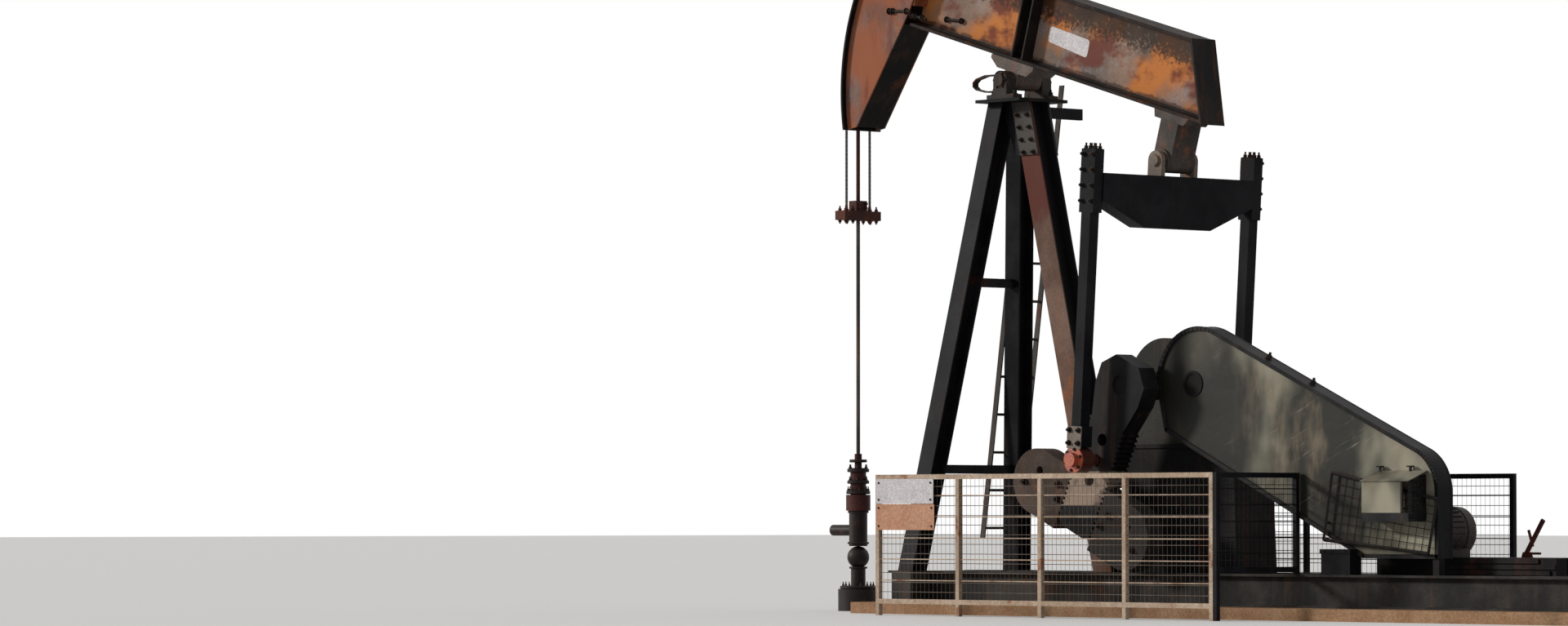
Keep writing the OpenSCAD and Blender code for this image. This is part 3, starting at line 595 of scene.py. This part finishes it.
gusset_low, gusset_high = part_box("head_gussets")
foot, top = gusset_low.z, gusset_high.z - 0.001
foot_x, top_x = rear_axis(foot), rear_axis(top)
flange_y, gusset_y, tie_y = 0.1005, 0.1145, 0.1095
gussets, gusset_ties, gusset_bolts = bmesh.new(), bmesh.new(), bmesh.new()
for side in (-1, 1):
    across(gussets, [(foot_x - 0.1, foot), (foot_x + 0.1, foot), (top_x + 0.1, top), (top_x - 0.1, top)],
           side * flange_y, side * gusset_y)
    across(gusset_ties, [(foot_x - 0.16, foot), (foot_x - 0.102, foot), (top_x - 0.102, top), (-0.12, top)],
           side * flange_y, side * tie_y)
    for row in range(4):
        z = 3.963 - row * 0.1
        for off in (-0.055, 0.055):
            bolt(gusset_bolts, (rear_axis(z) + off, side * gusset_y, z), (0, side, 0), 0.015, 0.022, 0.014)
gusset_piece = finished("gusset_plates", gussets, gusset_paint, "root")
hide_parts("head_gussets")
finished("gusset_ties", gusset_ties, leg_black, "root")
finished("gusset_bolts", gusset_bolts, bolt_black, "root")

# The ladder is flat bar rails and round rungs, grey where feet have worn it. It hangs from an arm under the
# cap.
ladder_grey = weathered("ladder_grey", (0.05, 0.042, 0.038), (0.1, 0.086, 0.078), rust=(0.17, 0.07, 0.04),
                        patch=5, amount=0.4, roughness=0.55)
dress(ladder_grey, "ladder")
dress(leg_black, "ladder_arm")

# The tail bearing hangs under the beam's tail, in a grey cast housing. The equalizer swings on it in two
# lugs, on a turned pin.
tail_grey = weathered("tail_grey", (0.05, 0.043, 0.04), (0.115, 0.095, 0.083), rust=(0.2, 0.085, 0.05),
                      patch=4, amount=0.45, roughness=0.6, bump=0.4, gloss=0.12)
lug_pale = weathered("lug_pale", (0.17, 0.14, 0.12), (0.28, 0.24, 0.205), rust=(0.3, 0.14, 0.08), patch=5,
                     amount=0.4, roughness=0.6)
equalizer_black = weathered("equalizer_black", (0.006, 0.006, 0.008), (0.015, 0.015, 0.018),
                            rust=(0.025, 0.013, 0.01), patch=2.5, amount=0.3, roughness=0.45, gloss=0.05)
dress(tail_grey, "tail_bearing")
dress(lug_pale, "equalizer_lugs", "tail_pin")
dress(equalizer_black, "equalizer")

# A pitman hangs from each end of the equalizer. Its head is bolted through with studs that stand up from
# the top, its sides carry bolted plates, and so does its foot.
dress(equalizer_black, "pitman_near", "pitman_far")
tail_pin_x, tail_pin_z, wrist_x, wrist_z = 1.67477, 3.53014, 1.51874, 1.20672
on_pitman = leaning(tail_pin_x, tail_pin_z, atan2(tail_pin_x - wrist_x, tail_pin_z - wrist_z))
head_face, foot_face, foot_level = 0.928, 0.946, -2.07
pitman_bolts = bmesh.new()
for side in (-1, 1):
    for x in (-0.045, 0.0, 0.045):
        for y in (0.85, 0.91):
            bolt(pitman_bolts, on_pitman(x, side * y, 0.06), (0.07, 0, 1), 0.015, 0.024, 0.022)
    for x in (-0.05, 0.05):
        for z in (0.02, -0.1, -0.22, -0.34, -2.1, -2.2):
            y = head_face if z > foot_level else foot_face
            bolt(pitman_bolts, on_pitman(x, side * y, z), (0, side, 0), 0.016, 0.024, 0.012)
finished("pitman_bolts", pitman_bolts, bolt_black, "pitmans")
pitman_plates = bmesh.new()
for side in (-1, 1):
    for low, high in ((-0.08, 0.04), (-0.34, -0.12)):
        plate(pitman_plates, [on_pitman(-0.0755, y, z) for z, y in oblong(low, high, side * 0.88 - 0.036,
                                                                         side * 0.88 + 0.036)], 0.012, 0.012)
    foot_plate = [on_pitman(x, side * 0.936, z) for x, z in oblong(-0.075, 0.075, -2.245, foot_level)]
    plate(pitman_plates, foot_plate[::-side], 0.01, 0.012)
finished("pitman_plates", pitman_plates, lug_pale, "pitmans")

# The wrist bearings at the pitmans' feet are red under a smear of grease. Six small bolts hold each cap.
red_grease = weathered("red_grease", (0.4, 0.05, 0.025), (0.55, 0.12, 0.05), rust=(0.25, 0.06, 0.03),
                       burnt=(0.04, 0.015, 0.012), patch=14, amount=0.55, roughness=0.35, bump=0.5, gloss=0.5)
grease_tree = red_grease.node_tree
grease_mask = combine(grease_tree, "MULTIPLY", span_mask(grease_tree, "Y", -0.93, 0.93), 0.85)
overpaint(red_grease, grease_mask, (0.02, 0.012, 0.011))
dress(red_grease, "wrist_bearing_near", "wrist_bearing_far")
wrist_bolts = bmesh.new()
for side in (-1, 1):
    for x, z in circle(0, 0, 0.082, 6, 0.3):
        bolt(wrist_bolts, on_pitman(0, side * 0.945, -2.328) + Vector((x, 0, z)), (0, side, 0), 0.01, 0.015)
finished("wrist_bolts", wrist_bolts, bolt_black, "pitmans")

# The cranks are iron castings with racks of teeth down both edges, and the counterweights are bolted across
# them. The near weight has chalked to a pale brown, with painted shade darkening it towards the gearbox. A
# pale band low on the near crank is a painted patch of sunlight.
crank_iron = weathered("crank_iron", (0.008, 0.008, 0.009), (0.022, 0.021, 0.022), rust=(0.1, 0.05, 0.035),
                       patch=3, amount=0.35, roughness=0.6, bump=0.5, gloss=0.08)
weight_chalk = weathered("weight_chalk", (0.055, 0.039, 0.032), (0.11, 0.08, 0.065), rust=(0.24, 0.09, 0.045),
                         burnt=(0.1, 0.06, 0.045), patch=3, amount=0.4, roughness=0.75, bump=0.5)
weight_dark = weathered("weight_dark", (0.03, 0.027, 0.025), (0.06, 0.052, 0.046), patch=3, amount=0.35,
                        roughness=0.75, bump=0.5, gloss=0.08)
iron_tree = crank_iron.node_tree
near_side = span_mask(iron_tree, "Y", -1, 0)
# Painted light: a pale band low on the near side of the crank stands for a patch of sunlight.
lit_band = combine(iron_tree, "MULTIPLY", span_mask(iron_tree, "Z", 0.86, 1.12), near_side)
lit_band_patches = ramp(iron_tree, cloud(iron_tree, 5, 5, 0.7), 0.36, 0.56)
overpaint(crank_iron, combine(iron_tree, "MULTIPLY", lit_band, lit_band_patches), (0.27, 0.205, 0.16))
chalk_tree = weight_chalk.node_tree
# Painted shade: the near weight darkens to near-black on its gearbox side.
weight_shade_reach = combine(chalk_tree, "ADD", along(chalk_tree, "X"), cloud(chalk_tree, 4, 5, 0.65))
overpaint(weight_chalk, ramp(chalk_tree, weight_shade_reach, 1.72, 1.9, 0, 0.94), (0.022, 0.02, 0.019))
dress(crank_iron, "crank_near", "crank_far", "crankshaft")
dress(weight_chalk, "weights_near")
dress(weight_dark, "weights_far")
shaft_x, shaft_z = 1.78, 1.78
on_crank = leaning(shaft_x, shaft_z, radians(24.5))


def cut_plate(mesh, loops, place_at, y0, y1):
    """A flat outline with holes in it, run across the unit from y0 to y1."""
    near = [mesh.verts.new(place_at(x, y0, z)) for loop in loops for x, z in loop]
    far = [mesh.verts.new(place_at(x, y1, z)) for loop in loops for x, z in loop]
    for a, b, c in tessellate_polygon([[Vector((x, z, 0)) for x, z in loop] for loop in loops]):
        mesh.faces.new((near[a], near[b], near[c]))
        mesh.faces.new((far[c], far[b], far[a]))
    start = 0
    for loop in loops:
        for i in range(len(loop)):
            j = (i + 1) % len(loop)
            mesh.faces.new((near[start + j], near[start + i], far[start + i], far[start + j]))
        start += len(loop)


arm_half, arm_long, arm_near, arm_back, arm_corner = 0.18, 1.24, -0.7, -0.53, 0.06
rack_top, tooth_high, tooth_pitch = 0.33, 0.02, 0.042
rack = [(arm_half + rise * tooth_high, -rack_top - (i + share) * tooth_pitch)
        for i in range(int((arm_long - rack_top - arm_corner) / tooth_pitch))
        for share, rise in ((0, 0), (0.2, 1), (0.5, 1), (0.7, 0))]
arm_side = [(0.13, 0.2), (0.25, 0.08), (0.25, -0.08)] + rack
arm_side += [(arm_half, 0.04 - arm_long), (arm_half - arm_corner, -arm_long)]
crank_outline = arm_side + [(-x, z) for x, z in reversed(arm_side)]
pin_holes = [circle(0, z, 0.048, 32) for z in (-0.46, -0.63, -0.8)]
near_crank = bmesh.new()
cut_plate(near_crank, [crank_outline, circle(0, 0, 0.075, 48)] + pin_holes, on_crank, arm_near, arm_back)
near_crank_piece = finished("crank_casting", near_crank, crank_iron, "cranks")
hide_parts("crank_near")
weight_bolts = bmesh.new()
for side in (-1, 1):
    for way in (-1, 1):
        for x, z in ((0.293, -0.965), (0.25, -1.074), (0.639, -1.1)):
            bolt(weight_bolts, on_crank(way * x, side * 0.7, z), (0, side, 0), 0.024, 0.03, 0.02)
finished("weight_bolts", weight_bolts, bolt_black, "cranks")

# The gearbox is a cast case in two halves, on a pedestal of plate. A row of bolts holds the flange between
# the halves, and leaves room for the crankshaft and for the sheave's shaft.
case_grey = weathered("case_grey", (0.017, 0.017, 0.014), (0.042, 0.041, 0.034), rust=(0.12, 0.07, 0.045),
                      patch=3, amount=0.3, roughness=0.6, bump=0.4, gloss=0.12)
pedestal_black = weathered("pedestal_black", (0.01, 0.01, 0.011), (0.025, 0.023, 0.023),
                           rust=(0.08, 0.035, 0.025), patch=2.4, amount=0.4, roughness=0.55, gloss=0.05)
dress(case_grey, "gear_case", "gear_case_cover")
dress(pedestal_black, "gearbox_pedestal")
case_low, case_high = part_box("gear_case")
sheave_x, sheave_z = 2.33, 1.79
case_bolts = bmesh.new()
for side in (-1, 1):
    for k in range(9):
        x = case_low.x + 0.06 + k * (case_high.x - case_low.x - 0.12) / 8
        if abs(x - shaft_x) > 0.15 and not (side < 0 and abs(x - sheave_x) < 0.13):
            bolt(case_bolts, (x, side * 0.22, 1.74), (0, side, 0), 0.013, 0.02)
finished("case_bolts", case_bolts, bolt_black, "root")

# The belt guard is a closed box of dull green-grey sheet over the sheaves and belts, rubbed and dented, with
# a dark rim, partly dark paint and partly painted shade. Its crank end carries the crank's shadow painted in
# near-black, and has a dished hub, and studs stand on its upper edge.
guard_sheet, guard_tree, guard_shader = new_coat("guard_sheet")
mottle = ramp(guard_tree, cloud(guard_tree, 1.5, 3, 0.5, (1, 1, 0.55)), 0.41, 0.6)
feed(guard_tree, guard_shader["Base Color"],
     blend_colour(guard_tree, mottle, (0.02, 0.02, 0.016), (0.26, 0.245, 0.185)))
blotches(guard_sheet, (0.27, 0.215, 0.15), 0.5, 0.5, 0.72, 3.1, 4, 0.6, (1, 1, 0.4))
blotches(guard_sheet, (0.42, 0.4, 0.35), 0.35, 0.58, 0.76, 30, 5, 0.7, (0.06, 1, 1), (0, 0.43, 0))
# Painted shadow: the crank's shadow on the guard, laid as near-black over its crank end with a ragged edge.
crank_shadow_edge = combine(guard_tree, "MULTIPLY", cloud(guard_tree, 1.8, 4, 0.6), 1.2)
crank_shadow_reach = combine(guard_tree, "ADD", along(guard_tree, "X"), crank_shadow_edge)
overpaint(guard_sheet, ramp(guard_tree, crank_shadow_reach, 3.0, 3.75, 0.85, 0), (0.02, 0.02, 0.017))
feed(guard_tree, guard_shader["Roughness"], ramp(guard_tree, mottle, 0, 1, 0.38, 0.55))
emboss(guard_tree, cloud(guard_tree, 2.5, 3, 0.5), 0.3, 0.02)
guard_shader["Metallic"].default_value = 0.1
guard_shader["Specular IOR Level"].default_value = 0.15
dress(guard_sheet, "belt_guard")
dress(pedestal_black, "guard_leg")
crank_end, motor_end = (sheave_x, sheave_z, 0.43), (4.42, 0.95, 0.35)
guard_near, guard_back, guard_slope = -0.4, -0.25, 24.3


def guard_arc(end, degrees):
    """A place on one of the guard's two round ends, in its side view."""
    x, z, radius = end
    return Vector((x + radius * cos(radians(degrees)), 0, z + radius * sin(radians(degrees))))


guard_outline = [guard_arc(crank_end, degrees) for degrees in range(180, 60, -6)]
guard_outline += [guard_arc(motor_end, degrees) for degrees in range(65, -1, -5)]
guard_outline += [Vector((x, 0, z)) for x, z in ((4.77, 0.467), (4.026, 0.467), (1.985, 1.428))]
guard_middle = sum(guard_outline, Vector()) / len(guard_outline)
rim, rim_wide, rim_out, rim_lap, rim_skin = bmesh.new(), 0.011988, 0.004, 0.002, 0.0015
for i, corner in enumerate(guard_outline):
    run = (corner - guard_outline[i - 1]).normalized()
    out = Vector((-run.z, 0, run.x)) * rim_out
    if out.dot((guard_outline[i - 1] + corner) / 2 - guard_middle) < 0:
        out = -out
    first, second = guard_outline[i - 1] - run * rim_lap, corner + run * rim_lap
    side_strip = (first - out * 7, second - out * 7, second + out, first + out)
    for y in (guard_near - 0.004, guard_back - 0.008):
        plate(rim, [at + Vector((0, y, 0)) for at in side_strip], rim_wide)
    edge_strip = oblong(first + out * 0.05, second + out * 0.05, guard_near, guard_back)
    plate(rim, [at + Vector((0, y, 0)) for at, y in edge_strip], rim_skin)
# The rim's near-black is partly dark paint and partly painted shade, for the end that faces away from the
# light.
rim_dark = weathered("guard_rim", (0.012, 0.012, 0.013), (0.03, 0.029, 0.03), rust=(0.07, 0.04, 0.028),
                     patch=3, amount=0.25, roughness=0.5, gloss=0.06)
finished("guard_rim", rim, rim_dark, "root")
hub_x, hub_z, hub_r, dish_r = 2.274, 1.785, 0.1, 0.078
hub_front, dish_floor = guard_near - 0.008, guard_near - 0.0005
guard_hub = bmesh.new()
skin(guard_hub, [[(x, y, z) for x, z in circle(hub_x, hub_z, radius, 40)] for radius, y in (
    (hub_r, guard_near), (hub_r, hub_front), (dish_r, hub_front), (dish_r, dish_floor), (0.002, dish_floor))],
     closed=False)
finished("guard_hub", guard_hub, head_black, "root")
guard_studs = bmesh.new()
for share in (0.238, 0.457):
    at = guard_arc(crank_end, 90 - guard_slope).lerp(guard_arc(motor_end, 90 - guard_slope), share)
    bolt(guard_studs, at + Vector((0, -0.33, 0)), (sin(radians(guard_slope)), 0, cos(radians(guard_slope))),
         0.022, 0.03, 0.02)
finished("guard_studs", guard_studs, bolt_black, "root")

# A sheet steel hood stands out from the guard's near side over the motor sheave, with a mesh end. A loose
# panel of mesh in an angle frame hangs behind it by short ties on the guard's face.


def sheet_box(mesh, low, high):
    """A closed box between two corners."""
    skin(mesh, [[(x, y, z) for x, y in oblong(low[0], high[0], low[1], high[1])] for z in (low[2], high[2])])


hood_x0, hood_x1, hood_near, hood_back = 4.19, 4.65, -0.6, -0.405
hood_foot, hood_eave, hood_ridge = 0.735, 1.03, 1.107
hood_floor, hood_sill, end_near = hood_foot + 0.02, hood_foot + 0.065, hood_back - 0.07
hood = bmesh.new()
sheet_box(hood, (hood_x0, hood_near, hood_foot), (hood_x1, hood_back, hood_floor))
sheet_box(hood, (hood_x0, hood_near, hood_floor), (hood_x1, hood_near + 0.006, hood_sill))
sheet_box(hood, (hood_x1 - 0.075, hood_near - 0.004, hood_sill),
          (hood_x1 - 0.055, hood_near + 0.006, hood_eave))
sheet_box(hood, (hood_x1 - 0.006, end_near, hood_floor), (hood_x1, hood_back, hood_ridge - 0.03))
for k in range(6):
    y = hood_near + 0.012 + k * 0.021
    sheet_box(hood, (hood_x1 - 0.006, y, hood_floor), (hood_x1, y + 0.007, hood_eave + 0.01))
for k in range(13):
    z = hood_foot + 0.03 + k * 0.021
    sheet_box(hood, (hood_x1 - 0.007, hood_near, z), (hood_x1 - 0.001, end_near, z + 0.007))
for x in (hood_x0 + 0.02, hood_x1 - 0.14):
    sheet_box(hood, (x - 0.01, hood_back - 0.02, hood_ridge - 0.01),
              (x + 0.01, hood_back - 0.01, hood_ridge + 0.04))
    sheet_box(hood, (x - 0.01, hood_back - 0.05, hood_ridge + 0.03),
              (x + 0.035, hood_back - 0.01, hood_ridge + 0.04))
finished("guard_hood", hood, rim_dark, "root")
roof = bmesh.new()
roof_sheet = oblong(hood_x0 - 0.01, hood_x1 + 0.012, (hood_near - 0.012, hood_eave), (hood_back, hood_ridge))
plate(roof, [Vector((x, y, z)) for x, (y, z) in roof_sheet], 0.005)
front_sheet = oblong(hood_x0, hood_x1 - 0.055, hood_sill, hood_eave)
plate(roof, [Vector((x, hood_near + 0.002, z)) for x, z in front_sheet], 0.004)
finished("hood_sheets", roof, guard_sheet, "root")
wire_dark = weathered("wire_dark", (0.02, 0.018, 0.018), (0.04, 0.036, 0.034), rust=(0.09, 0.045, 0.03),
                      patch=8, amount=0.4, roughness=0.5, bump=0.05, gloss=0.08)
loose = bmesh.new()
panel = [Vector((x, -0.44, z)) for x, z in ((3.748, 1.099), (4.79, 0.9), (4.7, 0.5), (3.66, 0.6))]
for i in range(4):
    wire(loose, panel[i], panel[(i + 1) % 4], 0.014)
    tie = panel[i].lerp(panel[(i + 1) % 4], 0.5 if i < 3 else 0.25)
    wire(loose, tie, (tie.x, guard_near + 0.001, tie.z), 0.008)
for count, (a, b, c, d) in ((14, (0, 1, 3, 2)), (7, (0, 3, 1, 2))):
    for k in range(1, count):
        wire(loose, panel[a].lerp(panel[b], k / count), panel[c].lerp(panel[d], k / count), 0.003)
finished("loose_panel", loose, wire_dark, "root")

# The motor lies across the skid behind the guard, on rails with flat bars stacked at their near end. Cooling
# fins run along its body to a domed fan cover. The red brake lever has a prong and a cross bar at its foot.
motor_grey = weathered("motor_grey", (0.06, 0.05, 0.048), (0.11, 0.095, 0.088), rust=(0.14, 0.06, 0.04),
                       patch=5, amount=0.4, roughness=0.55)
dress(motor_grey, "motor")
dress(pedestal_black, "motor_rails")
dress(red_oxide, "brake_lever")
prong = bmesh.new()
wire(prong, (4.995, 0.38, 0.552), (4.955, 0.38, 0.672), 0.011, 8)
wire(prong, (4.93, 0.38, 0.5), (5.07, 0.38, 0.5), 0.009, 8)
finished("lever_prong", prong, red_oxide, "root")
rail_low, rail_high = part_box("motor_rails")
bar_high = (rail_high.z - rail_low.z) / 3
stack = bmesh.new()
for k, (back, on) in enumerate(((0.0, 0.05), (0.12, 0.0), (0.04, 0.16))):
    foot = rail_low.z + bar_high * k
    sheet_box(stack, (rail_low.x + 0.2 + back, rail_low.y - 0.016, foot + 0.004),
              (rail_high.x - on, rail_low.y + 0.001, foot + bar_high - 0.006))
finished("rail_stack", stack, pedestal_black, "root")
motor_x, motor_z, fin_foot, fin_high, fin_half, fin_count = 4.25, 0.66, 0.185, 0.018, 0.003, 28
fins = bmesh.new()
for k in range(fin_count):
    angle = 2 * pi * k / fin_count
    if sin(angle) > -0.85:
        outward, beside = Vector((cos(angle), 0, sin(angle))), Vector((-sin(angle), 0, cos(angle)))
        foot = Vector((motor_x, 0, motor_z)) + outward * fin_foot - beside * fin_half
        fin = oblong(-0.15, 0.27, foot, foot + outward * fin_high)
        plate(fins, [at + Vector((0, y, 0)) for y, at in fin], 2 * fin_half)
dome = []
for ring in range(7):
    angle = ring * pi / 12
    radius = 0.192 * cos(angle) if ring < 6 else 0.01
    y = 0.3 + (0.08 if ring else 0.0) + 0.05 * sin(angle)
    dome.append([(x, y, z) for x, z in circle(motor_x, motor_z, radius, 32)])
skin(fins, dome, closed=False)
finished("motor_fins", fins, motor_grey, "root")

# The base is a cast concrete pad with the unit's steel skid on it. Blown dust lies on the steel, and the
# concrete is stained and pitted.
# The skid's near-black is painted shade: it stands in shade under the unit, and its own paint is a paler
# grey.
skid_black = weathered("skid_black", (0.014, 0.013, 0.013), (0.05, 0.045, 0.04), rust=(0.1, 0.055, 0.035),
                       patch=2, amount=0.4, roughness=0.65, gloss=0.12)
concrete = weathered("concrete", (0.32, 0.18, 0.1), (0.4, 0.25, 0.15), rust=(0.28, 0.18, 0.1),
                     burnt=(0.17, 0.12, 0.085), patch=1.4, amount=0.4, roughness=0.9, bump=0.6, spread=0.01)
dress(skid_black, "skid_runners", "skid_cross_members")
dress(concrete, "concrete_pad")

# A small closed box of black sheet stands on the near runner, under the loose panel. Its lid overlaps, and is
# held by two screws.
box_x0, box_x1, box_near, box_far, box_foot, box_top, lid = 3.672, 3.963, -0.483, -0.357, 0.340, 0.53, 0.008
skid_box = bmesh.new()
sheet_box(skid_box, (box_x0, box_near, box_foot), (box_x1, box_far, box_top - 0.02))
sheet_box(skid_box, (box_x0 - lid, box_near - lid, box_top - 0.03), (box_x1 + lid, box_far + lid, box_top))
for x in (box_x0 + 0.04, box_x1 - 0.04):
    bolt(skid_box, (x, box_near - lid, box_top - 0.015), (0, -1, 0), 0.006, 0.006)
finished("skid_box", skid_box, leg_black, "root")

# Guard fences stand round the cranks: welded frames of square tube filled with wire mesh. The near one has
# faded to tan in the sun, and the others are black; on the rear one the black is painted shade, as its frame
# faces away from the light.
fence_tan = weathered("fence_tan", (0.42, 0.31, 0.225), (0.56, 0.44, 0.34), rust=(0.3, 0.13, 0.07), patch=5,
                      amount=0.45, roughness=0.6)
wire_pale = weathered("wire_pale", (0.13, 0.105, 0.088), (0.2, 0.165, 0.14), rust=(0.2, 0.1, 0.06), patch=6,
                      amount=0.4, roughness=0.5, bump=0.05)
dress(fence_tan, "fence_near")
# On the rear fence the black frame is painted shade.
dress(leg_black, "fence_rear", "fence_far")


def fence_mesh(name, coat, foot):
    """The wires of a fence, upright ones in front of level ones, inside its frame."""
    low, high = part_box(name)
    axis = 0 if high.x - low.x > high.y - low.y else 1
    start, end, top = low[axis] + 0.02, high[axis] - 0.02, high.z - 0.02
    middle = (low[1 - axis] + high[1 - axis]) / 2
    wires = bmesh.new()

    def spot(distance, height, offset):
        return (distance, middle + offset, height) if axis == 0 else (middle + offset, distance, height)

    steps = round((end - start) / 0.047)
    for k in range(1, steps):
        at = start + k * (end - start) / steps
        wire(wires, spot(at, foot, 0.004), spot(at, top, 0.004), 0.0015, 3)
    levels = round((high.z - foot) / 0.076)
    for k in range(1, levels):
        height = foot + k * (top - foot) / levels
        wire(wires, spot(start, height, -0.004), spot(end, height, -0.004), 0.0026)
    finished(name + "_mesh", wires, coat, "root")


fence_mesh("fence_near", wire_pale, 0.11)
fence_mesh("fence_rear", wire_dark, 0.378)
fence_mesh("fence_far", wire_dark, 0.11)

# Two blank plates hang at the near fence's well end: a white enamelled one over a bare tan one. Each is
# held by four small bolts.
tan_enamel = weathered("tan_enamel", (0.5, 0.25, 0.15), (0.56, 0.31, 0.2), patch=4, amount=0.3, roughness=0.5)
sign_x, sign_y, sign_thick = -0.29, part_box("fence_near")[0].y - 0.003, 0.003
white_plate, tan_plate, sign_bolts = bmesh.new(), bmesh.new(), bmesh.new()
for sign, z0, z1, x1 in ((white_plate, 0.873, 1.065, 0.36), (tan_plate, 0.667, 0.87, 0.37)):
    plate(sign, [Vector((x, sign_y, z)) for x, z in oblong(sign_x, x1, z1, z0)], sign_thick, 0.012)
    for x, z in oblong(sign_x + 0.03, x1 - 0.03, z0 + 0.03, z1 - 0.03):
        bolt(sign_bolts, (x, sign_y - sign_thick, z), (0, -1, 0), 0.006, 0.006)
finished("white_sign", white_plate, enamel, "root")
finished("tan_sign", tan_plate, tan_enamel, "root")
finished("sign_bolts", sign_bolts, bolt_black, "root")

# The wellhead is a stack of iron castings: the casing head, a ball-shaped valve body, the tee and the
# stuffing box. Studs hold its flanges, and oil has run down all of it.
well_iron = weathered("well_iron", (0.016, 0.012, 0.011), (0.036, 0.027, 0.024), rust=(0.1, 0.045, 0.03),
                      patch=5, amount=0.45, roughness=0.5, bump=0.45, gloss=0.15)
box_maroon = weathered("box_maroon", (0.06, 0.02, 0.02), (0.11, 0.04, 0.035), rust=(0.1, 0.04, 0.03), patch=6,
                       amount=0.4, roughness=0.45, bump=0.4)
dress(well_iron, "casing_head", "pumping_tee")
dress(box_maroon, "stuffing_box")
flanges = bmesh.new()
for z, r, high in ((0.955, 0.098, 0.03), (1.04, 0.09, 0.028), (1.135, 0.09, 0.03), (1.215, 0.072, 0.025),
                   (0.8, 0.086, 0.02), (0.545, 0.088, 0.02), (0.345, 0.075, 0.018), (0.18, 0.15, 0.025)):
    skin(flanges, [[(x, y, level) for x, y in circle(well_x, 0, radius, 40)] for radius, level in (
        (r - 0.006, z), (r, z + 0.005), (r, z + high - 0.005), (r - 0.006, z + high))])
for z, r, count in ((0.985, 0.083, 8), (1.165, 0.075, 6), (1.068, 0.075, 6), (0.205, 0.125, 8)):
    for x, y in circle(well_x, 0, r, count, 0.2):
        bolt(flanges, (x, y, z), (0, 0, 1), 0.009, 0.016, 0.018)
finished("well_flanges", flanges, well_iron, "root")

# The script ends with the box round everything it shows.
low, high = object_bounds()
